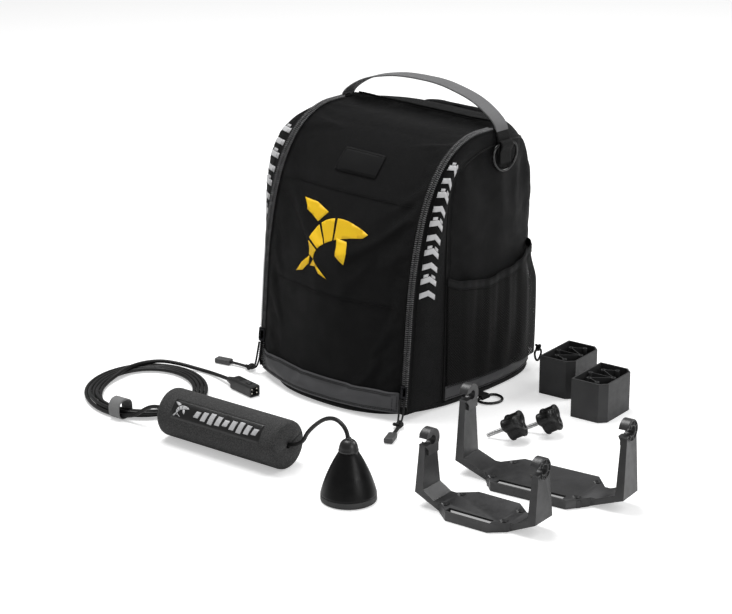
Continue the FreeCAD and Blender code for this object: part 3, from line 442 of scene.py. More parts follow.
class Cloth:
    """A panel of cloth: a grid of points, rows along the panel and columns across it."""

    def __init__(self, rows):
        self.rows = rows
        self.tall, self.wide = len(rows), len(rows[0])

    def point(self, u, v):
        """The place at u across and v along, both from 0 to 1."""
        x, y = u * (self.wide - 1), v * (self.tall - 1)
        i, j = min(int(x), self.wide - 2), min(int(y), self.tall - 2)
        i, j = max(i, 0), max(j, 0)
        low = self.rows[j][i].lerp(self.rows[j][i + 1], x - i)
        high = self.rows[j + 1][i].lerp(self.rows[j + 1][i + 1], x - i)
        return low.lerp(high, y - j)

    def normal(self, u, v):
        step = 0.012
        across = self.point(min(u + step, 1), v) - self.point(max(u - step, 0), v)
        along = self.point(u, min(v + step, 1)) - self.point(u, max(v - step, 0))
        return across.cross(along).normalized()

    def above(self, u, v, lift):
        return self.point(u, v) + self.normal(u, v) * lift

    def shift(self, amount):
        """Move every point along the cloth's normal by amount(u, v, point)."""
        moved = []
        for j in range(self.tall):
            v = j / (self.tall - 1)
            row = []
            for i in range(self.wide):
                u = i / (self.wide - 1)
                row.append(self.rows[j][i] + self.normal(u, v) * amount(u, v, self.rows[j][i]))
            moved.append(row)
        self.rows = moved

    def mesh(self, name):
        verts = [point for row in self.rows for point in row]
        faces, spots = [], []
        for j in range(self.tall):
            across = 0.0
            for i in range(self.wide):
                if i:
                    across += (self.rows[j][i] - self.rows[j][i - 1]).length
                along = spots[(j - 1) * self.wide + i][1] if j else 0.0
                if j:
                    along += (self.rows[j][i] - self.rows[j - 1][i]).length
                spots.append((across, along))
        for j in range(self.tall - 1):
            for i in range(self.wide - 1):
                k = j * self.wide + i
                faces.append((k, k + 1, k + 1 + self.wide, k + self.wide))
        mesh = bpy.data.meshes.new(name)
        mesh.from_pydata([tuple(vert) for vert in verts], [], faces)
        uv = mesh.uv_layers.new(name="UVMap")
        for loop in mesh.loops:
            uv.data[loop.index].uv = spots[loop.vertex_index]
        return mesh

    def piece(self, name, look, body, thick, subdivide=0):
        """The panel as a piece, its thickness behind the face."""
        made = add_piece(name, self.mesh(name), look, body)
        steps = {"SOLIDIFY": {"thickness": thick, "offset": -1.0}}
        if subdivide:
            steps = {"SUBSURF": {"levels": subdivide, "render_levels": subdivide}, **steps}
        return finish_with(made, **steps)

    def settle(self, name, grow, pressure, cap, pinned):
        """Let cloth with a little slack find its own folds, held where pinned(u, v) says."""
        piece = bpy.data.objects.new(name, self.mesh(name))
        bpy.context.collection.objects.link(piece)
        held = piece.vertex_groups.new(name="held")
        for j in range(self.tall):
            for i in range(self.wide):
                weight = pinned(i / (self.wide - 1), j / (self.tall - 1))
                held.add([j * self.wide + i], weight, "REPLACE")
        cloth = piece.modifiers.new("cloth", "CLOTH")
        made = cloth.settings
        made.quality, made.mass, made.vertex_group_mass = 6, 0.25, "held"
        made.tension_stiffness = made.compression_stiffness = 30
        made.shear_stiffness, made.bending_stiffness = 12, 3.0
        made.shrink_min = -grow
        made.use_pressure, made.uniform_pressure_force = True, pressure
        made.effector_weights.gravity = 0.15
        cloth.collision_settings.use_collision = False
        scene = bpy.context.scene
        scene.frame_start, scene.frame_end = 1, SETTLE_FRAMES
        for count in range(1, SETTLE_FRAMES + 1):
            scene.frame_set(count)
        graph = bpy.context.evaluated_depsgraph_get()
        result = piece.evaluated_get(graph).data
        for j in range(self.tall):
            for i in range(self.wide):
                start = self.rows[j][i]
                moved = result.vertices[j * self.wide + i].co - start
                if moved.length > cap:
                    moved *= cap / moved.length
                self.rows[j][i] = start + moved
        scene.frame_set(1)
        bpy.data.objects.remove(piece)


SETTLE_FRAMES = 16


def box_mesh(sizes, spots, name):
    """Many small blocks in one mesh: each spot is a matrix that places one block."""
    x, y, z = (size / 2 for size in sizes)
    c = 0.72
    ring = [(-x, -y * c), (-x * c, -y), (x * c, -y), (x, -y * c), (x, y * c), (x * c, y), (-x * c, y),
            (-x, y * c)]
    shell = [Vector((a, b, end * c)) for end in (-z, z) for a, b in ring]
    shell += [Vector((a * c, b * c, end)) for end in (-z, z) for a, b in ring]
    verts, faces = [], []
    for spot in spots:
        base = len(verts)
        verts += [spot @ vert for vert in shell]
        for k in range(8):
            n = (k + 1) % 8
            faces.append((base + k, base + n, base + 8 + n, base + 8 + k))
            faces.append((base + 16 + k, base + 16 + n, base + n, base + k))
            faces.append((base + 8 + k, base + 8 + n, base + 24 + n, base + 24 + k))
        faces.append(tuple(base + 23 - k for k in range(8)))
        faces.append(tuple(base + 24 + k for k in range(8)))
    return mesh_of(verts, faces, name)


def spot_along(place, forward, up):
    """A matrix at a place whose X runs forward and whose Z points near up."""
    x = forward.normalized()
    y = up.cross(x).normalized()
    z = x.cross(y)
    return Matrix.Translation(place) @ Matrix((x, y, z)).transposed().to_4x4()


def stitches(name, lines, body, pitch=3.4 * MM, long=2.5 * MM, look="thread"):
    """Rows of thread stitches; each line is a list of (place, outward normal)."""
    spots = []
    for line in lines:
        places = [place for place, normal in line]
        places = resample(places, max(int(length_of(places) / pitch), 2))
        for k, place in enumerate(places[:-1]):
            forward = places[k + 1] - place
            up = line[min(int(k / len(places) * len(line)), len(line) - 1)][1]
            if forward.length > 1e-6:
                spots.append(spot_along(place, forward, up))
    return add_piece(name, box_mesh((long, 0.75 * MM, 0.6 * MM), spots, name), look, body)


def tube_along(points, radius, name, sides=10, closed=False):
    """A round tube mesh along a line of points."""
    count = len(points)
    verts = []
    up = Vector((0.13, 0.21, 0.97))      # leans a little, so it is never along the line
    for k, place in enumerate(points):
        before = points[k - 1] if k or closed else place
        after = points[(k + 1) % count] if k < count - 1 or closed else place
        forward = (after - before).normalized()
        side = forward.cross(up)
        if side.length < 0.1:
            side = forward.cross(Vector((1, 0, 0)))
        side.normalize()
        up = side.cross(forward).normalized()
        for i in range(sides):
            turn = 2 * math.pi * i / sides
            verts.append(place + (side * math.cos(turn) - up * math.sin(turn)) * radius)
    return mesh_of(verts, skin_faces(count, sides, closed), name)


def add_tube(name, line, radius, look, body, sides=10, closed=False):
    return add_piece(name, tube_along(line, radius, name, sides, closed), look, body)


def refine(node_name, look, body, bevel, angle=32):
    """A CAD piece with its edges softened and its material set; it replaces the node."""
    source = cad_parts[node_name]
    mesh = source.data.copy()
    mesh.materials.clear()
    work = bmesh.new()
    work.from_mesh(mesh)
    bmesh.ops.remove_doubles(work, verts=work.verts, dist=0.01 * MM)
    bmesh.ops.dissolve_limit(work, angle_limit=math.radians(2), verts=work.verts, edges=work.edges)
    work.to_mesh(mesh)
    work.free()
    piece = add_piece("look_" + node_name, mesh, look, body)
    soft = piece.modifiers.new("soft_edges", "BEVEL")
    soft.width, soft.segments, soft.limit_method = bevel, 2, "ANGLE"
    soft.angle_limit, soft.use_clamp_overlap, soft.harden_normals = math.radians(angle), True, False
    shade = piece.modifiers.new("even_normals", "WEIGHTED_NORMAL")
    shade.keep_sharp = True
    freeze(piece)
    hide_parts(node_name)
    return piece


def lathe(name, profile, centre, look, body, steps=96):
    """A turned piece about a vertical axis from (radius, height) points in millimetres."""
    verts = [centre + spot * MM for radius, height in profile
             for spot in ring_points(radius, steps, height)]
    return add_piece(name, mesh_of(verts, skin_faces(len(profile), steps), name), look, body)


# ---------------------------------------------------------------- cords

def cord_curve(name, route, diameter, look, body):
    """A round cord as one smooth spline whose control points are the route."""
    data = bpy.data.curves.new(name, "CURVE")
    data.dimensions = "3D"
    data.bevel_depth, data.bevel_resolution, data.use_fill_caps = diameter / 2, 5, True
    line = data.splines.new("NURBS")
    line.points.add(len(route) - 1)
    for point, place in zip(line.points, route):
        point.co = (*place, 1)
    line.order_u = 3
    line.use_endpoint_u = True
    line.resolution_u = 6
    data.materials.append(LOOK[look])
    piece = bpy.data.objects.new(name, data)
    bpy.context.collection.objects.link(piece)
    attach(piece, body)
    return piece


COIL_CENTRE = Vector((-201, -315, 0)) * MM
COIL_FAR, COIL_NEAR, COIL_YAW = 112 * MM, 92 * MM, math.radians(134)
CABLE_D = 5.6 * MM
COIL_START, COIL_END, COIL_TIE = 200, 1814, 211     # degrees of winding
STRAND = 5.75 * MM


def on_coil(angle, inward, height):
    """A point on the coil: its angle in degrees and its distance in from the outer line."""
    turn = math.radians(angle)
    far, near = COIL_FAR - inward, COIL_NEAR - inward
    u, v = far * math.cos(turn), -near * math.sin(turn)
    return COIL_CENTRE + Vector((u * math.cos(COIL_YAW) - v * math.sin(COIL_YAW),
                                 u * math.sin(COIL_YAW) + v * math.cos(COIL_YAW), height))


def coil_strand(angle):
    """The cable's place after winding by an angle: flat strands that bunch up at the tie."""
    turns = (angle - COIL_TIE) / 360
    apart = abs((angle - COIL_TIE + 180) % 360 - 180)
    bunch = 1 - smoothstep(18, 70, apart)
    pitch = STRAND - 2.1 * MM * bunch
    odd = 0.5 - 0.5 * math.cos(math.pi * turns)
    height = CABLE_D / 2 + 1.8 * MM + 5.2 * MM * odd * math.sqrt(bunch)
    inward = CABLE_D / 2 + 0.4 * MM + turns * pitch + bunch * 4.4 * MM
    wander = 0.9 * MM * math.sin(math.radians(2 * angle) + 0.7)
    leave = smoothstep(COIL_END - 62, COIL_END, angle)
    lift = smoothstep(COIL_END - 75, COIL_END - 45, angle)
    inward += wander * (1 - bunch) * (1 - leave) - leave * (inward - CABLE_D / 2)
    height += lift * (10.5 * MM - height)
    return on_coil(angle, inward, height)


def make_sonar_cable(with_pieces):
    """One length of cable from the transducer through the float and the coil to the plug."""
    from_transducer = metres([
        (268, -390, 74), (267, -389.7, 87), (259, -388.5, 97), (243, -386, 102), (223, -383, 97),
        (202, -379.5, 83), (181, -377, 63), (168.4, -371, 45), (149.5, -372.7, 35.3),
        (126.6, -374.9, 33.5), (66.9, -380.6, 33.65), (7.2, -386.2, 33.5), (-52.6, -391.8, 33.6),
        (-86.4, -395, 33.5), (-104, -397, 29), (-118, -399.5, 19), (-131, -403, 9.5),
    ])
    turns = []
    angle = COIL_START + 6
    while angle < COIL_END:
        turns.append(coil_strand(angle))
        angle += 15
    lead = metres([(-240, -211.5, 7), (-218, -203.5, 3.8), (-192, -200, 3.3), (-166, -204, 5.6),
                   (-141, -210.1, 8.5), (-136, -210.8, 8.5)])
    route = from_transducer + turns + lead
    cable = cord_curve("sonar_cable_line", route, CABLE_D, "cable", "sonar")
    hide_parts("sonar_cable", "cable_coil", "cable_lead")


PULLS = {
    "left": [(-140.5, -146, 50), (-141.2, -148.6, 32), (-143.5, -151, 15), (-151, -150, 5.4),
             (-167, -146, 3.4), (-184, -147, 3.6), (-198, -150.5, 4.2)],
    "right": [(140.5, -147, 33), (140.9, -149, 22), (142.2, -152, 11), (147, -160, 4.4),
              (155, -171, 3.4), (162.5, -184, 3.6), (169, -197, 4.2)],
}


def make_pull_cords():
    """The knotted cords of the two zipper pulls with their moulded ends."""
    for name, points in PULLS.items():
        body = name + "_slider"
        route = metres(points)
        grip = refine("pull_grip_" + name, "grip", body, 1.2 * MM)
        knot = pull_knot(name, route, body)
        for strand, way in (("front", 1), ("rear", -1)):
            line = pull_strand(route, way)
            cord = cord_curve("pull_%s_%s" % (strand, name), line, PULL_D, "cord", body)
            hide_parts("pull_cord_" + name)


PULL_D = 2.8 * MM
PULL_APART = (2.2, 3.3, 3.0, 2.2, 1.45, 1.45, 1.4)      # from the middle, in millimetres


def pull_strand(route, way):
    """One of a pull's two strands: apart under the slider and side by side past the knot."""
    ahead = route[-1] - route[3]
    across = Vector((ahead.y, -ahead.x, 0)).normalized() * way * MM
    return [place + across * apart for place, apart in zip(route, PULL_APART)]


def overhand(centre, aim, size):
    """The line of an overhand knot: a trefoil, turned by a matrix."""
    points = []
    for k in range(60):
        turn = 2 * math.pi * k / 60
        spot = Vector((math.sin(turn) + 2 * math.sin(2 * turn), math.cos(turn) - 2 * math.cos(2 * turn),
                       -0.9 * math.sin(3 * turn)))
        points.append(centre + aim @ (spot * size))
    return points


def pull_knot(name, route, body):
    """The knot half way along a pull, of the same cord."""
    centre = route[4].lerp(route[3], 0.35) + Vector((0, 0, 1.6 * MM))
    aim = (route[4] - route[3]).normalized().to_track_quat("X", "Z").to_matrix()
    line = overhand(centre, aim, 2.3 * MM)
    return add_tube("pull_knot_" + name, line, 1.9 * MM, "cord", body, 10, True)


# ---------------------------------------------------------------- the bag's lines, in millimetres

FLAP_BOW = 34.0
ZIP_X = 140.5
FLAP_HALF = ZIP_X - 3.4        # from the flap's middle to its edge beside the zipper
ZIP_LINE = [(-142.7, 12), (-135.2, 100), (-128.5, 178), (-119.5, 232), (-106, 283), (-88, 323),
            (-65, 353), (-38, 372), (-8, 382), (28, 383.5), (46, 385.4), (64, 386.4)]
SEAM_LINE = [(-70, 12), (-68, 100), (-67, 178), (-66.5, 232), (-64, 285), (-57, 322), (-42, 341),
             (-19, 352), (2, 359), (28, 363), (46, 364.6), (64, 365.3)]
# The wall's plan from the right front seam round to the middle of the back, with its top's height.
WALL_PLAN = [(148, -68, 363), (150, -10, 364.5), (149, 50, 365), (142, 105, 362), (126, 143, 354),
             (106, 162, 352), (84, 168, 362), (40, 169, 372), (0, 169, 374)]
BACK_LEAN = [(9, 0.99), (110, 1.0), (210, 0.966), (305, 0.864), (352, 0.76), (375, 0.66)]
WALL_FROM_Y, LEAN_FROM_Y = -68.0, 50.0
WALL_LOW = 9.0
CREASES = (154.6, 293.0)       # heights of the seams sewn across the flap


def mm_line(points, count, x=0.0):
    """A smooth line in the plane at x through (y, z) points given in millimetres."""
    return smooth_line([(x * MM, y * MM, z * MM) for y, z in points], count)


def height_table(line):
    """A line as a table from height to Y."""
    return [(place.z, place.y) for place in line]


def read_table(table, key):
    """A value read straight between the entries of a table of rising (key, value)."""
    if key <= table[0][0]:
        return table[0][1]
    for (k0, v0), (k1, v1) in zip(table, table[1:]):
        if key <= k1:
            return v0 + (v1 - v0) * (key - k0) / max(k1 - k0, 1e-9)
    return table[-1][1]


def bow(x, z):
    """How far the flap bulges forward at a distance x from its middle, in metres."""
    fade = max(0.0, 1 - (z / 0.380) ** 2)
    return -FLAP_BOW * MM * fade * (1 - (x / (ZIP_X * MM)) ** 2)


def folds(point, size, reach):
    """Soft random folds: reach metres high and about size metres wide."""
    low = noise.noise(point / size)
    fine = noise.noise(point / (size * 0.37) + Vector((5.2, 1.3, 7.7)))
    return reach * (low + 0.35 * fine)


def make_flap_cloth():
    """The front panel, from its hem up over the top to the seam in front of the handle."""
    half = FLAP_HALF * MM
    return Cloth([[Vector((x, place.y + bow(x, place.z), place.z)) for x in span(-half, half, 57)]
                  for place in mm_line(ZIP_LINE, 105)])


# How far the gussets swell sideways, for the first ten points of the zipper's line.
FULLNESS = {-1: (4, 8, 15, 24, 32, 35, 33, 27, 16, 5), 1: (3, 4, 5.5, 7.5, 10, 11, 10, 7, 4, 1.5)}
CREST_SKEW = 0.8


def make_gusset_cloth(side):
    """The full strip between a zipper and the side wall."""
    front = mm_line(ZIP_LINE, 100, ZIP_X + 3.4)
    rear = mm_line(SEAM_LINE, 100, 147.5)
    swell = [(point[1] * MM, full * MM) for point, full in zip(ZIP_LINE, FULLNESS[side])]
    rows = []
    for a, b in zip(front, rear):
        full = read_table(swell, a.z)
        rows.append([a.lerp(b, share) + Vector((full * math.sin(math.pi * share ** CREST_SKEW), 0, 0))
                     for share in (i / 24 for i in range(25))])
    return Cloth(rows if side > 0 else mirrored(rows))


def mirrored(rows):
    """Rows of points on the other side of the bag."""
    return [[Vector((-p.x, p.y, p.z)) for p in reversed(row)] for row in rows]


def make_wall_cloth():
    """One wrap of cloth round the right side, the back and the left side."""
    half = smooth_line([(x * MM, y * MM, z * MM) for x, y, z in WALL_PLAN], 62)
    plan = half + mirrored([half[:-1]])[0]
    front = height_table(mm_line(SEAM_LINE[:10], 200))
    lean = [(z * MM, share) for z, share in BACK_LEAN]
    lean_from = LEAN_FROM_Y * MM
    rows = []
    for j in range(66):
        v = 1 - (1 - j / 65) ** 1.35
        row = []
        for foot in plan:
            z = WALL_LOW * MM + v * (foot.z - WALL_LOW * MM)
            start = read_table(front, z)
            if foot.y > lean_from:
                y = lean_from + (foot.y - lean_from) * read_table(lean, z)
            else:
                share = (foot.y - WALL_FROM_Y * MM) / ((LEAN_FROM_Y - WALL_FROM_Y) * MM)
                y = start + share * (lean_from - start)
            inward = 2.2 * MM * v ** 8 * (1 if foot.x > 0 else -1) * min(1, abs(foot.x) / (60 * MM))
            row.append(Vector((foot.x - inward, y, z)))
        rows.append(row)
    return Cloth(rows)


# At each Y of the top, its height in the middle and how square its arch is.
CROWN = [(56, 385.2), (64, 386), (100, 383), (118, 379.5), (131, 375)]
SQUARE = [(56, 15), (100, 8), (131, 5)]


def make_top_cloth(wall):
    """The fixed top, arched between the two sides behind the flap's seam."""
    edge = [place for place in wall.rows[-1][:wall.wide // 2] if place.y > 56 * MM]
    edge = resample(edge, 26)
    rows = []
    for place in edge[:-1]:
        half = place.x
        crown = read_table(CROWN, place.y / MM) * MM
        power = read_table(SQUARE, place.y / MM)
        row = []
        for share in (i / 24 - 1 for i in range(49)):
            x = half * math.sin(math.pi / 2 * share) if power > 6 else half * share
            z = crown - (crown - place.z) * abs(x / half) ** power
            row.append(Vector((x, place.y, z)))
        rows.append(row)
    return Cloth(rows)


def edge_line(cloth, u, start=0.0, end=1.0, count=120, lift=0.0):
    """Points up a column of a cloth."""
    return [cloth.above(u, v, lift) for v in span(start, end, count)]


def seam(cloth, places, lift=0.3 * MM):
    """(place, outward normal) pairs through (u, v) places of a cloth."""
    return [(cloth.above(u, v, lift), cloth.normal(u, v)) for u, v in places]


def level_line(cloth, height, low, high):
    """A seam along a cloth at a height."""
    return seam(cloth, [(u, row_at(cloth, u, height)) for u in span(low, high, 90)])


def up_line(cloth, u, low, high, count=100, lift=0.3 * MM):
    """A seam up a column of a cloth."""
    return seam(cloth, [(u, v) for v in span(low, high, count)], lift)


def across_line(cloth, v, low, high, count=80, lift=0.3 * MM):
    """A seam along a row of a cloth."""
    return seam(cloth, [(u, v) for u in span(low, high, count)], lift)


def box_seam(cloth, us, vs, counts, lift=0.3 * MM):
    """Four seams round a box on a cloth."""
    return ([across_line(cloth, v, *us, counts[0], lift) for v in vs]
            + [up_line(cloth, u, *vs, counts[1], lift) for u in us])


def row_at(cloth, u, height):
    """How far along the cloth its column u first reaches a height."""
    low, high = 0.0, 1.0
    for _ in range(18):
        middle = (low + high) / 2
        if cloth.point(u, middle).z < height:
            low = middle
        else:
            high = middle
    return low


# ---------------------------------------------------------------- the bag's panels

def dress_flap():
    """Settle and crease the front panel; returns its cloth for what is sewn on it."""
    flap = make_flap_cloth()

    def pinned(u, v):
        side = max(1 - min(u, 1 - u) / 0.035, 0)
        ends = max(1 - min(v, 1 - v) / 0.02, 0)
        return min(1.0, max(side, ends))

    flap.settle("flap_settling", 0.012, 2.4, 5 * MM, pinned)

    def creased(u, v, place):
        inside = min(1.0, min(u, 1 - u) / 0.06)
        deep = 0.0
        for height in CREASES:
            deep -= 1.1 * MM * math.exp(-((place.z - height * MM) / (2.6 * MM)) ** 2)
            deep += 0.9 * MM * math.exp(-((place.z - height * MM - 8 * MM) / (7 * MM)) ** 2)
        over = math.exp(-((place.y + 27 * MM + 9 * MM * (2 * u - 1) ** 2) / (3.2 * MM)) ** 2)
        if place.z > 0.36:
            deep -= 0.9 * MM * over
        return inside * (deep + folds(place, 0.075, 1.5 * MM))

    flap.shift(creased)
    piece = flap.piece("flap_cloth", "bag", None, 3.6 * MM, 1)
    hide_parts("flap_panel")
    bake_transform(piece)
    return flap


# Places across the wall, from 0 at the right front seam to 1 at the left one.
CORNER_PINS, STUFFED_AT, DRAPED_AT = (0.352, 0.648), (0.345, 0.655), (0.19, 0.81)


def humps(u, places, wide):
    """One at each place, falling off to nothing over about twice the width."""
    return sum(math.exp(-((u - place) / wide) ** 2) for place in places)


def dress_walls():
    """The side and back wrap, the fixed top and the two gussets."""
    wall = make_wall_cloth()

    def pinned(u, v):
        rim = max(1 - min(v / 0.02, (1 - v) / 0.03), 0)
        ends = max(1 - min(u, 1 - u) / 0.012, 0)
        corner = max(max(1 - abs(u - at) / 0.012, 0) for at in CORNER_PINS) * 0.8
        return min(1.0, max(rim, ends, corner))

    wall.settle("wall_settling", 0.010, 1.6, 4.5 * MM, pinned)
    wall.shift(lambda u, v, place: min(1, 20 * min(u, 1 - u), 12 * min(v, 1 - v))
               * (folds(place, 0.085, 2.0 * MM) + drapes(u, v)) + stuffed(u, v))
    piece = wall.piece("wall_cloth", "bag", "bag", 3.4 * MM, 1)
    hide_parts("side_panel_left", "side_panel_right", "back_panel")
    top = make_top_cloth(wall)
    top.shift(lambda u, v, place: min(1, 14 * min(u, 1 - u), 10 * min(v, 1 - v))
              * (folds(place, 0.05, 1.7 * MM) - 0.6 * MM))
    piece = top.piece("top_cloth", "bag", "bag", 3.0 * MM, 1)
    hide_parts("top_panel")
    gussets = {}
    for name, side in SIDES:
        gusset = make_gusset_cloth(side)
        gusset.shift(lambda u, v, place: min(1, 6 * min(u, 1 - u)) * folds(place, 0.06, 1.2 * MM))
        piece = gusset.piece("gusset_cloth_" + name, "bag", "bag", 3.0 * MM, 1)
        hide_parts("gusset_" + name)
        gussets[name] = gusset
    return wall, top, gussets


def stuffed(u, v):
    """How far the rear corners are filled out above the pockets."""
    corner = humps(u, STUFFED_AT, 0.075)
    return 10.5 * MM * corner * smoothstep(0.42, 0.66, v) * math.cos(math.pi / 2 * v ** 5)


def drapes(u, v):
    """Long upright folds on the upper sides, where the strap pulls on the cloth."""
    near, side = humps(v, (0.72,), 0.22), humps(u, DRAPED_AT, 0.09)
    return 1.3 * MM * near * side * math.sin(2 * math.pi * 13 * u + 2.2 * v)


# The case's foot from the middle of the front round to the middle of the back.
FOOT_PLAN = [(0, -170), (62, -163.5), (108, -139), (130, -109), (144, -60), (146.5, -10), (145.5, 50),
             (139.5, 103), (125.5, 137.5), (104, 157.5), (84, 164.5), (0, 166.5)]
FOOT_HEIGHT, FOOT_CORD_R = 5.0, 3.9
PIPING_FROM_Y = 60.0


def make_pipings(flap, wall, gussets):
    """Corded seams: beside the zippers, along the gussets, round the top and the base."""
    for name, side in SIDES:
        near, far = (0.0, 1.0) if side > 0 else (1.0, 0.0)
        gusset = gussets[name]
        for kind, cloth, u, end, lift, radius, body in (
                ("flap", flap, far, 0.885, 0.4, 1.25, "flap"),
                ("zip", gusset, near, 0.97, 0.5, 1.25, "bag"),
                ("side", gusset, far, 1.0, 0.5, 1.5, "bag")):
            line = edge_line(cloth, u, 0.0, end, 150, lift * MM)
            add_tube("%s_piping_%s" % (kind, name), line, radius * MM, "piping", body)
    rim = [p + Vector((0, 0, 0.3 * MM)) for p in resample(wall.rows[-1], 220)
           if p.y > PIPING_FROM_Y * MM]
    add_tube("top_piping", rim, 1.5 * MM, "piping", "bag")
    seam_line = [flap.above(u, 0.997, 0.6 * MM) for u in span(0, 1, 90)]
    piece = add_tube("rear_seam_cord", seam_line, 1.6 * MM, "piping", "bag")
    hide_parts("seam_piping")
    foot = FOOT_PLAN + [(-x, y) for x, y in reversed(FOOT_PLAN[1:-1])]
    closed = smooth_loop(metres([(x, y, FOOT_HEIGHT) for x, y in foot]), 260)
    piece = add_tube("base_cord", closed, FOOT_CORD_R * MM, "binding", "bag", 14, True)
    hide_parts("base_piping")


def smooth_loop(points, count):
    """Points spread evenly round a smooth closed curve through the given ones."""
    nodes = [Vector(p) for p in points]
    wrapped = nodes[-2:] + nodes + nodes[:2]
    line = smooth_line(wrapped, count * 2)
    start = min(range(count // 2), key=lambda k: (line[k] - nodes[0]).length)
    end = min(range(count, 2 * count), key=lambda k: (line[k] - nodes[0]).length)
    return resample(line[start:end + 1], count + 1)[:-1]


HEM_LOW, HEM_HIGH, HEM_HALF = 10.8, 40.8, 133.2
BAND_LOW, BAND_HIGH = 11.2, 32.0


def band_on(cloth, us, low, high, rows, lift, swell):
    """A band of cloth laid on another between two heights, a little fuller in its middle."""
    made = []
    for share in span(0, 1, rows):
        z = (low + (high - low) * share) * MM
        above = (lift + swell * math.sin(math.pi * share)) * MM
        row = [cloth.above(u, row_at(cloth, u, z), above) for u in us]
        made.append([Vector((place.x, place.y, z)) for place in row])
    return Cloth(made)


def make_bands(flap, wall):
    """The satin grey hem on the flap and the matching band round the sides and back."""
    reach = HEM_HALF / FLAP_HALF / 2
    hem = band_on(flap, span(0.5 - reach, 0.5 + reach, 65), HEM_LOW, HEM_HIGH, 7, 1.9, 0.5)
    piece = hem.piece("hem_cloth", "band", "flap", 1.4 * MM, 1)
    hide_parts("hem_band")
    lines = []
    for inset, low in ((0.012, 0.1067), (0.035, 0.1731)):
        lines += box_seam(hem, (inset, 1 - inset), (low, 1 - low), (80, 12))
    stitches("hem_stitches", lines, "flap")
    band = band_on(wall, span(0.004, 0.996, 170), BAND_LOW, BAND_HIGH, 6, 1.5, 0.4)
    piece = band.piece("side_band_cloth", "band", "bag", 1.2 * MM)
    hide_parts("side_band")
    lines = [across_line(band, v, 0.004, 0.996, 200) for v in (0.12, 0.88)]
    stitches("side_band_stitches", lines, "bag")


def sew_panels(flap, wall, top, gussets):
    """Thread along the seams, where the panels are top-stitched."""
    lines = [up_line(flap, u, 0.07, 0.87) for u in (0.016, 0.984)]
    lines += [level_line(flap, height * MM + 3 * MM, 0.05, 0.95) for height in CREASES]
    stitches("flap_stitches", lines, "flap")
    lines = []
    for name, side in SIDES:
        lines += [up_line(gussets[name], u if side > 0 else 1 - u, 0.02, 0.97) for u in (0.09, 0.93)]
    lines += [up_line(wall, u, 0.10, 0.985) for u in (0.012, 0.345, 0.359, 0.641, 0.655, 0.988)]
    lines.append(across_line(top, 0.06, 0.06, 0.94))
    stitches("panel_stitches", lines, "bag")


# ---------------------------------------------------------------- zippers

ZIP_PITCH = 2.9
TAPE_FROM, TAPE_TO = 0.3, 3.9          # from the zipper's middle line, in millimetres
TOOTH = (1.25 * MM, 4.9 * MM, 2.4 * MM)


def make_zippers():
    """Two coil zippers: a tape and a row of coils on each side of each."""
    line = mm_line(ZIP_LINE[:10] + [(34, 384.2)], 260)
    taped = [place_out(line, k, 0.2 * MM) for k in range(len(line))]
    count = int(length_of(line) / (ZIP_PITCH * MM)) - 1
    places = resample(line, count * 4)
    for name, side in SIDES:
        for part, way, start, node_name in (("flap", -1, 0.25, "flap_zip_"),
                                            ("bag", 1, 0.75, "side_zip_")):
            low, high = sorted(side * (ZIP_X + way * edge) * MM for edge in (TAPE_FROM, TAPE_TO))
            rows = [[Vector((x, p.y, p.z)) for x in (low, (low + high) / 2, high)] for p in taped]
            tape = Cloth(rows).piece("zip_tape_%s_%s" % (part, name), "webbing", part, 1.6 * MM)
            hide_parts(node_name + name)
            spots = []
            for k in range(3, count - 1):
                at = min(int((k + start) * 4), len(places) - 3)
                forward = (places[at + 2] - places[at - 2]).normalized()
                outward = Vector((0, -forward.z, forward.y))
                spot = Vector((side * (ZIP_X + way * 2.9) * MM, places[at].y, places[at].z))
                spots.append(spot_along(spot + outward * 2.6 * MM, forward, outward))
            mesh = box_mesh(TOOTH, spots, "zip_coil")
            add_piece("zip_coil_%s_%s" % (part, name), mesh, "coil", part)


def place_out(line, k, lift):
    """A point of the zipper's line moved outward from the bag."""
    before, after = line[max(k - 1, 0)], line[min(k + 1, len(line) - 1)]
    forward = (after - before).normalized()
    return line[k] + Vector((0, -forward.z, forward.y)) * lift


# ---------------------------------------------------------------- pockets

POCKET_PLAN = [(151.2, -66), (157.5, -40), (161, 10), (160.5, 60), (158, 100), (148, 133), (123, 147.5)]
POCKET_RIM = [(-70, 181), (-40, 171), (10, 164), (60, 170), (110, 183), (152, 190)]
POCKET_LOW = 32.0
BINDING_HIGH = 13.0


def make_pocket_cloth(side):
    """The mesh pocket: gathered into upright folds under its elastic binding."""
    plan = smooth_line(metres([(x, y, 0) for x, y in POCKET_PLAN]), 90)
    rim = [(y * MM, z * MM) for y, z in POCKET_RIM]
    rows = []
    for j in range(45):
        v = j / 44
        row = []
        for i, place in enumerate(plan):
            u = i / (len(plan) - 1)
            top = blend_of(rim, place.y)
            belly = math.sin(math.pi * u) ** 0.6
            fold = math.sin(2 * math.pi * (6.3 * u + 0.25 * math.sin(5 * u + 2 * v)) + 0.6)
            fine = math.sin(2 * math.pi * 15.5 * u + 1.1 * math.sin(3 * v))
            sag = 1.8 * math.sin(math.pi * v) ** 0.8
            out = belly * (sag + (0.5 + 1.3 * v * (1.25 - v)) * fold * 1.5 + 0.5 * fine * v)
            out -= 7.5 * smoothstep(0.72, 1.0, v) * smoothstep(80 * MM, 128 * MM, place.y)
            tangent = (plan[min(i + 1, 89)] - plan[max(i - 1, 0)]).normalized()
            outward = Vector((tangent.y, -tangent.x, 0))
            z = POCKET_LOW * MM + v * (top - POCKET_LOW * MM)
            row.append(Vector((place.x, place.y, z)) + outward * (out - 1.2) * MM)
        rows.append(row)
    return Cloth(rows if side > 0 else mirrored(rows))


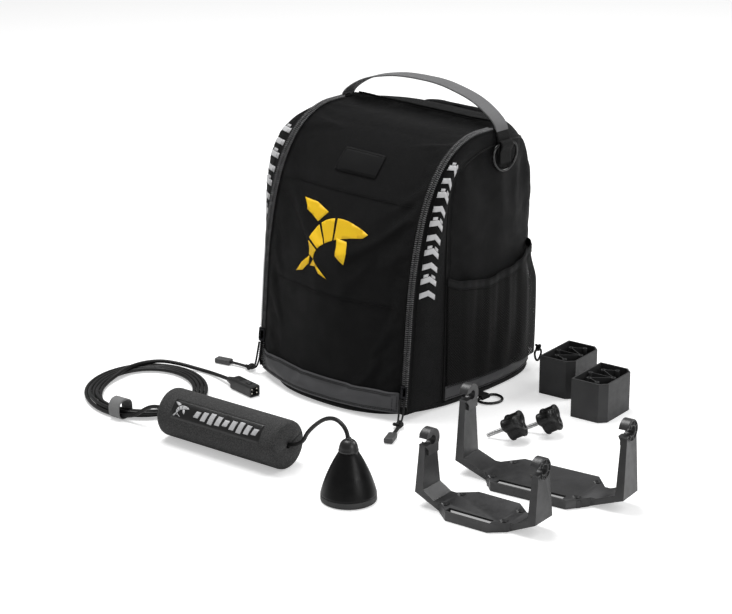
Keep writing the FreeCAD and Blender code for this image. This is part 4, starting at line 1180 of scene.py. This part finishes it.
def net_mesh(cloth, name, wide, tall, hole=0.60):
    """A knitted net: a lattice of diamond holes over a cloth, in one thin layer."""
    width = length_of(cloth.rows[cloth.tall // 2])
    height = length_of([cloth.point(0.5, k / 20) for k in range(21)])
    across, along = int(width / wide), int(height / tall)
    verts, index, faces = [], {}, []

    def corner(a, b):
        if (a, b) not in index:
            index[a, b] = len(verts)
            verts.append(cloth.point(a / (2 * across), b / (2 * along)))
        return index[a, b]

    for b in range(1, 2 * along):
        for a in range(1, 2 * across):
            if (a + b) % 2:
                continue
            ring = [corner(a - 1, b), corner(a, b - 1), corner(a + 1, b), corner(a, b + 1)]
            middle = cloth.point(a / (2 * across), b / (2 * along))
            base = len(verts)
            verts.extend(middle.lerp(verts[k], hole) for k in ring)
            for k in range(4):
                n = (k + 1) % 4
                faces.append((ring[k], ring[n], base + n, base + k))
    return mesh_of(verts, faces, name)


def make_pockets():
    """The two net pockets, their elastic bindings and the thread in them."""
    for name, side in SIDES:
        cloth = make_pocket_cloth(side)
        piece = add_piece("pocket_net_" + name, net_mesh(cloth, "pocket_net", 4.4 * MM, 4.0 * MM),
                          "net", "bag")
        finish_with(piece, SOLIDIFY={"thickness": 0.8 * MM, "offset": 0.0})
        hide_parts("mesh_pocket_" + name)
        rows = []
        for j in range(6):
            low = j / 5
            row = []
            for i, place in enumerate(cloth.rows[-1]):
                outward = cloth.normal(i / (cloth.wide - 1), 0.97)
                puff = (0.9 + 0.9 * math.sin(math.pi * low)) * MM
                spot = place + outward * puff
                row.append(Vector((spot.x, spot.y, place.z - 0.5 * MM + low * BINDING_HIGH * MM)))
            rows.append(row)
        binding = Cloth(rows)
        piece = binding.piece("pocket_tape_" + name, "binding", "bag", 1.8 * MM, 1)
        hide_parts("pocket_binding_" + name)
        lines = [across_line(binding, v, 0.01, 0.99, 120, 0.2 * MM) for v in (0.14, 0.86)]
        stitches("pocket_stitches_" + name, lines, "bag")


# ---------------------------------------------------------------- prints, patch, emblem

def sewn_shape(outlines, cloth, name, look, body, to_uv, lift=0.35 * MM, thick=0.35 * MM, step=6.0):
    """Flat outlines, in millimetres, laid on a cloth: cut fine enough to follow its curves."""
    work = bmesh.new()
    for outline in outlines:
        work.faces.new([work.verts.new((x, y, 0)) for x, y in outline])
    bmesh.ops.triangulate(work, faces=work.faces)
    xs, ys = [v.co.x for v in work.verts], [v.co.y for v in work.verts]
    for axis, low, high in ((0, min(xs), max(xs)), (1, min(ys), max(ys))):
        cut = low + step
        while cut < high:
            place, normal = [0, 0, 0], [0, 0, 0]
            place[axis], normal[axis] = cut, 1
            bmesh.ops.bisect_plane(work, geom=work.verts[:] + work.edges[:] + work.faces[:],
                                   plane_co=place, plane_no=normal, dist=1e-5)
            cut += step
    bmesh.ops.remove_doubles(work, verts=work.verts, dist=1e-4)
    for vert in work.verts:
        u, v = to_uv(vert.co.x, vert.co.y)
        vert.co = cloth.above(u, v, lift + thick)
    mesh = bpy.data.meshes.new(name)
    work.to_mesh(mesh)
    work.free()
    piece = add_piece(name, mesh, look, body)
    faces_out(piece, cloth)
    return finish_with(piece, SOLIDIFY={"thickness": thick, "offset": -1.0})


def faces_out(piece, cloth):
    """Turn a flat piece's faces the same way as the cloth's."""
    mesh = piece.data
    facing = cloth.normal(0.5, 0.5)
    total = sum((polygon.normal * polygon.area for polygon in mesh.polygons), Vector())
    if total.dot(facing) < 0:
        mesh.flip_normals()


def fish_outlines():
    """A plain leaping fish in parts with gaps between them, drawn in millimetres."""
    def centre(s):
        a, b, c = Vector((-34, 186)), Vector((-52, 262)), Vector((58, 246))
        return a * (1 - s) ** 2 + b * 2 * s * (1 - s) + c * s * s

    def side(s, out):
        ahead = (centre(min(s + 0.01, 1)) - centre(max(s - 0.01, 0))).normalized()
        return centre(s) + Vector((-ahead.y, ahead.x)) * out

    def girth(s):
        return 21 * math.sin(math.pi * min(s, 1) ** 0.82) ** 0.75 * (0.45 + 0.55 * s)

    def slice_of(low, high, count=9):
        steps = span(low, high, count + 1)
        upper = [side(s + 0.03, girth(s)) for s in steps]
        lower = [side(s, -girth(s)) for s in reversed(steps)]
        return [tuple(p) for p in upper + lower]

    body = [slice_of(0.10, 0.24), slice_of(0.27, 0.42), slice_of(0.45, 0.62), slice_of(0.65, 0.965)]
    tail = [[(-36, 190), (-30, 200), (-14, 184), (2, 180), (-18, 193)],
            [(-40, 192), (-52, 180), (-66, 176), (-56, 190), (-41, 203)]]
    fins = [[(-38, 250), (-62, 262), (-75, 276), (-48, 275), (-22, 266)],
            [(4, 236), (12, 214), (28, 204), (30, 220), (24, 234)]]
    return body + tail + fins


def print_marks(count, long, wide):
    """A row of plain chevrons and bars along a strip, in millimetres."""
    outlines, pitch = [], long / count
    for k in range(count):
        y = k * pitch
        tip, stroke = 0.30 * pitch, 0.40 * pitch
        outlines.append([(0, y), (wide / 2, y + tip), (wide, y), (wide, y + stroke),
                         (wide / 2, y + stroke + tip), (0, y + stroke)])
        if k % 2:
            outlines.append([(0.12 * wide, y + 0.52 * pitch), (0.40 * wide, y + 0.66 * pitch),
                             (0.40 * wide, y + 0.86 * pitch), (0.12 * wide, y + 0.72 * pitch)])
            outlines.append([(0.60 * wide, y + 0.66 * pitch), (0.88 * wide, y + 0.52 * pitch),
                             (0.88 * wide, y + 0.72 * pitch), (0.60 * wide, y + 0.86 * pitch)])
    return outlines


def make_prints(flap, gussets):
    """The fish, the patch and the marks on the gussets."""
    def on_flap(x, z):
        u = 0.5 + x / (2 * FLAP_HALF)
        return u, row_at(flap, u, z * MM)

    sewn_shape(fish_outlines(), flap, "fish_print", "emblem", "flap", on_flap, 0.25 * MM, 0.25 * MM)
    patch = rounded_box(-39, 319, 39, 347, 3)
    piece = sewn_shape([patch], flap, "patch_tape", "hooks", "flap", on_flap, 0.5 * MM, 0.9 * MM, 4)
    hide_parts("hook_loop_patch")
    line = [on_flap(x, z) for x, z in rounded_box(-37.4, 320.6, 37.4, 345.4, 2, 14)]
    stitches("patch_stitches", [seam(flap, line + line[:1], 1.6 * MM)], "flap")
    for name, side in SIDES:
        gusset = gussets[name]
        start, wide = (0.08, 0.46) if side > 0 else (0.04, 0.40)
        middle = start + wide / 2 if side > 0 else 1 - start - wide / 2
        low, high = row_at(gusset, middle, 172 * MM), row_at(gusset, middle, 356 * MM)

        def on_gusset(x, y):
            v = low + (high - low) * y / 200
            u = start + 0.03 * (1 - y / 200) + wide * x / 25
            return (u, v) if side > 0 else (1 - u, v)

        sewn_shape(print_marks(10, 200, 25), gusset, "gusset_print_" + name, "print", "bag", on_gusset,
                   0.3 * MM, 0.3 * MM, 5)


def rounded_box(x0, y0, x1, y1, radius, steps=4):
    """A rectangle with rounded corners as a list of points."""
    points = []
    corners = ((x1 - radius, y1 - radius, 0), (x0 + radius, y1 - radius, 90),
               (x0 + radius, y0 + radius, 180), (x1 - radius, y0 + radius, 270))
    for x, y, start in corners:
        for k in range(steps + 1):
            turn = math.radians(start + 90 * k / steps)
            points.append((x + radius * math.cos(turn), y + radius * math.sin(turn)))
    return points


# ---------------------------------------------------------------- handle, loops, rings

def strap_cloth(path, wide, axis, crown=0.0):
    """A strap of webbing: rows along a path, its width along an axis."""
    rows = []
    for place in path:
        row = []
        for i in range(9):
            u = i / 8
            bulge = crown * (1 - (2 * u - 1) ** 2)
            row.append(place + axis * (u - 0.5) * wide + Vector((0, 0, bulge)))
        rows.append(row)
    return Cloth(rows)


HANDLE_PATH = [(-150, 374), (-140, 394), (-104, 415.5), (-52, 428.5), (0, 432), (52, 428.5),
               (104, 415.5), (140, 394), (150, 374)]
HANDLE_Y = 48


def make_handle():
    """The grey webbing handle with its ends box-stitched."""
    path = smooth_line(metres([(x, HANDLE_Y, z) for x, z in HANDLE_PATH]), 120)
    path = [p + Vector((0, 3 * MM * math.sin(math.pi * k / 119), 0)) for k, p in enumerate(path)]
    strap = strap_cloth([p - Vector((0, 0, 0.2 * MM)) for p in path], 25 * MM, Vector((0, 1, 0)))
    strap.shift(lambda u, v, place: folds(place, 0.05, 0.5 * MM) * math.sin(math.pi * v))
    piece = strap.piece("handle_strap", "strap", None, 2.2 * MM, 1)
    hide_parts("carry_handle")
    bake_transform(piece)
    lines = []
    for ends in ((0.012, 0.055), (0.945, 0.988)):
        lines += box_seam(strap, (0.08, 0.92), ends, (20, 20), 0.2 * MM)
    piece = stitches("handle_stitches", lines, None)
    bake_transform(piece)


LOOP_PATH = [(153.2, 330), (153.4, 350), (152.4, 360), (153.4, 367.6), (157.6, 366.2), (158.3, 361),
             (156.6, 357), (154.8, 352), (154.6, 336)]
ROOT_PATH = [(136, 386.9), (145, 384.5), (150.6, 376), (152.2, 366), (152.0, 350)]


def make_loops():
    """Black webbing loops that hold the D-rings, turned over the handle's feet."""
    for name, side in SIDES:
        path = smooth_line(metres([(side * x, HANDLE_Y, z) for x, z in LOOP_PATH]), 60)
        strap = strap_cloth(path, 24 * MM, Vector((0, side, 0)))
        piece = strap.piece("ring_strap_" + name, "webbing", "bag", 1.4 * MM)
        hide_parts("ring_loop_" + name)
        root = smooth_line(metres([(side * x, HANDLE_Y, z) for x, z in ROOT_PATH]), 40)
        cover = strap_cloth(root, 27 * MM, Vector((0, 1, 0)))
        piece = cover.piece("strap_root_" + name, "webbing", "bag", 1.6 * MM)
        lines = [up_line(cover, u, 0.05, 0.95, 30) for u in (0.1, 0.9)]
        stitches("root_stitches_" + name, lines, "bag")


def dress_cad_parts():
    """Materials on the CAD pieces that keep their own shape."""
    looks = {"base_panel": "lining", "base_board": "lining", "d_ring_left": "ring",
             "d_ring_right": "ring", "floor_ring_left": "ring", "floor_ring_right": "ring",
             "transducer_face": "potting", "piezo_element": "ceramic", "plug_pins": "contact"}
    for node_name, look in looks.items():
        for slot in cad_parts[node_name].material_slots:
            slot.material = LOOK[look]


CORNER = [(103, -140.5), (122, -141.8), (140.5, -142.2), (143.6, -110), (144.6, -62), (140, -62),
          (128, -106)]


def make_corners():
    """The floor's front corners, between the base's rounded seam and the gussets."""
    for name, side in SIDES:
        for_side = [Vector((side * x, y, 8.6)) * MM for x, y in CORNER]
        mesh = mesh_of(for_side, [tuple(range(len(CORNER)))], "base_corner")
        piece = add_piece("base_corner_" + name, mesh, "lining", "bag", False)
        finish_with(piece, SOLIDIFY={"thickness": 1.4 * MM, "offset": 0.0})


def make_small_bag_parts():
    """Sliders, floor tabs and the knotted cord loop on the rear corner."""
    for name in ("left", "right"):
        refine("slider_" + name, "slider", name + "_slider", 0.5 * MM)
        refine("floor_tab_" + name, "webbing_plain", "bag", 0.4 * MM)
    centre = Vector((143.5, 147.5, 22)) * MM
    points = []
    for k in range(40):
        turn = 2 * math.pi * k / 40
        points.append(centre + Vector((0.8 * math.sin(2 * turn), 7.2 * math.sin(turn),
                                       9.0 * math.cos(turn))) * MM)
    piece = add_tube("rear_loop", points, 1.6 * MM, "cord", "bag", 12, True)
    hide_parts("rear_cord_loop")
    upright = Matrix(((1, 0, 0), (0, 0, 1), (0, 1, 0)))
    points = overhand(centre + Vector((0, 0, 11.5 * MM)), upright, 1.6 * MM)
    add_tube("rear_knot", points, 1.5 * MM, "cord", "bag", 10, True)


# ---------------------------------------------------------------- sonar set

SONAR = Vector((268, -390, 0)) * MM
CONE_FOOT_R, CONE_TOP_R, CONE_TALL, CONE_BULGE = 36.4, 12.6, 56.5, 2.6


def make_transducer():
    """A glossy cone on a satin foot, with a capped cable gland on top."""
    cone = [(34.5, 9.25)]
    for share in span(0, 1, 29):
        bulge = 4 * share * (1 - share) * CONE_BULGE
        cone.append((CONE_FOOT_R + (CONE_TOP_R - CONE_FOOT_R) * share + bulge, 9.3 + CONE_TALL * share))
    cone += [(12.2, 66.1), (9, 66.15)]
    piece = lathe("transducer_shell", cone, SONAR, "cone", "sonar")
    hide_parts("transducer_cone")
    foot = [(31.6, 0.0), (35.4, 0.0), (36.2, 0.5), (36.5, 1.4), (36.5, 7.4), (36.2, 8.4), (35.3, 8.9),
            (34, 9.0), (31.6, 9.0)]
    piece = lathe("transducer_foot", foot, SONAR, "foot", "sonar")
    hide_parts("transducer_ring")
    cap = [(9.5, 66.0), (12.6, 66.2), (13.1, 66.9), (13.1, 68.4), (12.5, 69.4), (12.3, 71.4),
           (11.6, 74.4), (10.4, 77.4), (8.8, 79.6), (6.9, 81.1), (4.9, 81.9), (4.1, 82.7),
           (3.7, 84.6), (2.9, 84.8)]
    piece = lathe("transducer_gland", cap, SONAR, "cap", "sonar")
    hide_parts("transducer_cap")


FLOAT_MIDDLE = Vector((41, -383, 33.5)) * MM
FLOAT_YAW = math.radians(5.4)
FLOAT_LONG, FLOAT_R = 206 * MM, 33.5 * MM
FLOAT_BORE_R, FLOAT_SLIT = 4.6 * MM, 2.0 * MM
FLOAT_SLIT_TURN = math.radians(22)
LABEL_FROM, LABEL_LONG = -77, 156
LABEL_TURNS = (169, 120)             # degrees round the float, lower edge first
BAR_FROM, BAR_PITCH, BAR_WIDE, BAR_LEAN = 39, 12.6, 8.2, 3.0
BAR_HEIGHTS = (9.0, 13.0, 16.0, 13.0)


def float_point(distance, radius, turn):
    """A point at an angle round the float; 0 faces the back and a quarter turn is up."""
    along = Vector((math.cos(FLOAT_YAW), math.sin(FLOAT_YAW), 0))
    across = Vector((-along.y, along.x, 0))
    return (FLOAT_MIDDLE + along * distance + across * radius * math.cos(turn)
            + Vector((0, 0, radius * math.sin(turn))))


def make_float():
    """A foam cylinder with soft ends, a bore for the cable and a slit to clip it on."""
    gap = FLOAT_SLIT / 2
    outer_gap, inner_gap = math.asin(gap / FLOAT_R), math.asin(gap / FLOAT_BORE_R)
    stations = [(-1, 3.6), (-0.985, 1.7), (-0.97, 0.7), (-0.945, 0.1), (-0.92, 0)]
    stations += [(k / 10, 0) for k in range(-9, 10)]
    stations += [(-share, inset) for share, inset in reversed(stations[:5])]
    verts = []
    for share, inset in stations:
        radius = FLOAT_R - inset * MM
        ring = []
        for k in range(97):
            turn = FLOAT_SLIT_TURN + outer_gap + (2 * math.pi - 2 * outer_gap) * k / 96
            ring.append(float_point(share * FLOAT_LONG / 2, radius, turn))
        for k in range(25):
            turn = FLOAT_SLIT_TURN - inner_gap - (2 * math.pi - 2 * inner_gap) * k / 24
            ring.append(float_point(share * FLOAT_LONG / 2, FLOAT_BORE_R, turn))
        verts += ring
    mesh = mesh_of(verts, skin_faces(len(stations), len(ring)), "float_body")
    work = bmesh.new()
    work.from_mesh(mesh)
    flat = [face for face in work.faces if len(face.verts) > 4]
    bmesh.ops.triangulate(work, faces=flat)
    bmesh.ops.recalc_face_normals(work, faces=work.faces)
    work.to_mesh(mesh)
    work.free()
    piece = add_piece("float_body", mesh, "foam", "float")
    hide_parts("float_foam")
    make_float_label()


def make_float_label():
    """A dark label with a plain fish and bars, wrapped on the side that faces front."""
    label = Cloth([[float_point(x * MM, FLOAT_R + 0.1 * MM, math.radians(turn))
                    for x in span(LABEL_FROM, LABEL_FROM + LABEL_LONG, 31)]
                   for turn in span(*LABEL_TURNS, 9)])
    piece = label.piece("float_label", "label", "float", 0.3 * MM)
    height = length_of([label.point(0, k / 8) for k in range(9)])
    tall = height / MM

    def on_label(x, y):
        return x / LABEL_LONG, y / tall

    marks = [[(17 + x * 0.2, tall / 2 + (y - 228) * 0.2) for x, y in outline]
             for outline in fish_outlines()]
    bars = []
    for k in range(9):
        x, half = BAR_FROM + BAR_PITCH * k, BAR_HEIGHTS[k % 4] / 2
        low, high = tall / 2 - 0.3 - half, tall / 2 - 0.3 + half
        end, lean = x + BAR_WIDE, BAR_LEAN
        bars.append([(x, low), (end, low), (end + lean, high), (x + lean, high)])
    sewn_shape(marks + bars, label, "float_label_marks", "print", "float", on_label, 0.1 * MM,
               0.15 * MM, 4)


PLUG_BASE, PLUG_YAW = Vector((-126, -212.2, 0)) * MM, math.radians(-8)
PLUG_TOP, RIB_FROM, RIB_PITCH, RIB_COUNT = 17.2, 5, 3.4, 5
LATCH_AT, LATCH_TOP = 34, 17.3


def make_plug():
    """The connector on the cable: ribbed boot, keyed body and latch."""
    pieces = [refine("plug_body", "plug", "sonar", 0.6 * MM),
              refine("plug_boot", "plug", "sonar", 0.2 * MM)]
    turned = Matrix.Translation(PLUG_BASE) @ Matrix.Rotation(PLUG_YAW, 4, "Z")

    def block(name, sizes, places):
        """Blocks at (distance along the plug, height) places, in millimetres."""
        spots = [turned @ Matrix.Translation(Vector((x, 0, z)) * MM) for x, z in places]
        sizes = [size * MM for size in sizes]
        pieces.append(add_piece(name, box_mesh(sizes, spots, name), "plug", "sonar"))

    block("plug_ribs", (1.5, 13, 1.0), [(RIB_FROM + RIB_PITCH * k, PLUG_TOP) for k in range(RIB_COUNT)])
    block("plug_latch", (9, 7, 2.0), [(LATCH_AT, LATCH_TOP)])
    return pieces


TIE_SHIFT = -12.5 * MM                 # along the cable, from the middle of the bunch
TIE_WIDE = 19 * MM
TIE_BOX = (-13, 1.8, 12.5, 26.5, 9.5)  # its outline across the cable: x0, z0, x1, z1, radius
TIE_LAP = 8


def make_tie():
    """The hook-and-loop tie: a tall loose loop round the bunched cable with its tail on top."""
    winding = COIL_TIE + 360 * 2
    middle = coil_strand(winding)
    along = coil_strand(winding + 3) - coil_strand(winding - 3)
    along.z = 0
    along.normalize()
    across = Vector((-along.y, along.x, 0))
    centre = Vector((middle.x, middle.y, 0)) + across * 0.6 * MM + along * TIE_SHIFT
    path = [centre + across * x * MM + Vector((0, 0, z * MM)) for x, z in rounded_box(*TIE_BOX, 9)]
    start = (len(path) + 1) // 8
    path = path[start:] + path[:start + 6]
    lap = len(path) - TIE_LAP
    path = [p + (Vector((0, 0, 1)) + across * 0.6) * (max(k - lap, 0) * 0.25 * MM)
            for k, p in enumerate(path)]
    line = resample(path, 70)
    strap = strap_cloth(line, TIE_WIDE, along)
    piece = strap.piece("tie_loop", "tie", "sonar", 1.5 * MM, 1)
    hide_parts("tie_strap")
    return piece


# ---------------------------------------------------------------- brackets, risers, knobs

def make_mounting_parts():
    """The brackets and risers, with softened edges."""
    for size in ("small", "large"):
        refine("bracket_" + size, "bracket", size + "_bracket", 0.8 * MM, 24)
    for place in ("front", "rear"):
        refine("riser_" + place, "riser", place + "_riser", 0.7 * MM, 30)


HUBS = {"small": ((429.2, -315.4, 86), 7, 88.5), "large": ((429.8, -192, 106.4), 10.2, 121.5)}
HUB_MOUTH = 32                 # degrees each side of the hook's mouth left free
HUB_RIMS = (7.4, 13.6)
HUB_SPOKES = (60, 108, 156, 204, 252, 300)


def make_hubs():
    """Ribbed hubs on the outward faces of the hooks: two rims, spokes and a near-black plate between
    the rims, painted shade in the recess.
    """
    for size, (middle, yaw, reach) in HUBS.items():
        turned = Matrix.Translation(Vector(middle) * MM) @ Matrix.Rotation(math.radians(yaw), 4, "Z")
        for name, side in SIDES:
            def at(radius, degrees, out):
                turn = math.radians(degrees)
                return turned @ (Vector((side * (reach + out), -radius * math.cos(turn),
                                         radius * math.sin(turn))) * MM)

            sweep = span(HUB_MOUTH, 360 - HUB_MOUTH, 41)
            parts = [tube_along([at(radius, turn, 0.5) for turn in sweep], 0.8 * MM, "rim", 8)
                     for radius in HUB_RIMS]
            parts += [tube_along([at(radius, turn, 0.5) for radius in span(*HUB_RIMS, 3)], 0.7 * MM,
                                 "spoke", 8) for turn in HUB_SPOKES]
            label = "hub_%s_%s" % (size, name)
            add_piece(label, joined(parts, label), "bracket", size + "_bracket")
            # a thin near-black plate between the rims: painted shade standing for the shadow in the
            # recess
            verts = [at(radius, turn, 0.1) for turn in sweep for radius in (7.6, 13.4)]
            faces = [(2 * k, 2 * k + 1, 2 * k + 3, 2 * k + 2) for k in range(40)]
            plate = add_piece(label + "_recess_painted_shade", mesh_of(verts, faces, "recess_painted_shade"), "recess_painted_shade",
                              size + "_bracket")
            finish_with(plate, SOLIDIFY={"thickness": 0.15 * MM, "offset": 0.0})


def joined(meshes, name):
    """Several meshes as one."""
    work = bmesh.new()
    for mesh in meshes:
        work.from_mesh(mesh)
    whole = bpy.data.meshes.new(name)
    work.to_mesh(whole)
    work.free()
    return whole


KNOB_YAW, KNOB_TILT = math.radians(203), math.radians(29)
KNOBS = {"front": Vector((289, -99.6, 18.2)) * MM, "rear": Vector((310, -49.6, 18.2)) * MM}
STUD_LONG = 31.0
# The knob's (height, share of the outline's radius), down from the stud's end.
KNOB_PROFILE = ((0.0, 0.55), (0.0, 0.86), (-0.8, 0.95), (-2.2, 1.0), (-5.0, 1.0), (-6.0, 0.955),
                (-6.8, 0.93), (-17.2, 0.93), (-18.0, 0.955), (-19.0, 1.0), (-21.8, 1.0),
                (-23.2, 0.95), (-24.0, 0.86), (-24.0, 0.62), (-22.4, 0.58), (-22.2, 0.2))


def knob_matrix(centre):
    """A knob lies on its side: where it lies and how it is turned."""
    aim = Matrix.Rotation(KNOB_YAW, 4, "Z") @ Matrix.Rotation(math.pi / 2 + KNOB_TILT, 4, "Y")
    return Matrix.Translation(centre) @ aim


def lobe_radius(turn):
    """The knob's three-lobed outline."""
    return (16.2 + 4.3 * math.cos(3 * turn) - 0.2 * math.cos(6 * turn)) * MM


def make_knobs():
    """Three-lobed hand knobs with a ribbed waist."""
    for name, centre in KNOBS.items():
        spot = knob_matrix(centre)
        verts, steps = [], 120
        for height, share in KNOB_PROFILE:
            for i in range(steps):
                turn = 2 * math.pi * i / steps
                ribbed = 0.35 * MM * math.cos(36 * turn) if -17.4 < height < -6.7 else 0.0
                radius = lobe_radius(turn) * share + ribbed
                verts.append(spot @ Vector((radius * math.cos(turn), radius * math.sin(turn),
                                            height * MM)))
        mesh = mesh_of(verts, skin_faces(len(KNOB_PROFILE), steps), "knob")
        mesh.flip_normals()          # the profile runs down, from the stud's end
        piece = add_piece("knob_grip_" + name, mesh, "knob", name + "_knob")
        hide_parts("knob_" + name)
        make_stud(name, spot)


def make_stud(name, spot):
    """The knob's stud: a plain shank and a rolled thread that winds along it."""
    verts, steps, rows = [], 28, 200
    pitch, long, radius = 1.0 * MM, STUD_LONG * MM, 2.95 * MM
    for k in range(rows + 1):
        height = long * k / rows
        fade = smoothstep(0.0, 2 * MM, height) * smoothstep(0.0, 1.5 * MM, long - height)
        shrink = 0.5 * MM * (1 - smoothstep(0.0, 1.2 * MM, long - height))
        for i in range(steps):
            turn = 2 * math.pi * i / steps
            ridge = 0.5 + 0.5 * math.cos(2 * math.pi * (height / pitch) - turn)
            here = radius - shrink - 0.42 * MM * fade * (1 - ridge)
            verts.append(spot @ Vector((here * math.cos(turn), here * math.sin(turn), height)))
    mesh = mesh_of(verts, skin_faces(rows + 1, steps), "stud")
    piece = add_piece("stud_thread_" + name, mesh, "steel", name + "_knob")
    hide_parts("knob_stud_" + name)


# ---------------------------------------------------------------- build

make_camera()
make_studio()
make_sonar_cable(make_plug() + [make_tie(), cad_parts["plug_pins"]])
make_pull_cords()
flap_cloth = dress_flap()
wall_cloth, top_cloth, gusset_cloths = dress_walls()
make_pipings(flap_cloth, wall_cloth, gusset_cloths)
make_bands(flap_cloth, wall_cloth)
sew_panels(flap_cloth, wall_cloth, top_cloth, gusset_cloths)
make_zippers()
make_pockets()
make_prints(flap_cloth, gusset_cloths)
make_handle()
make_loops()
make_small_bag_parts()
make_corners()
dress_cad_parts()
make_transducer()
make_float()
make_mounting_parts()
make_hubs()
make_knobs()
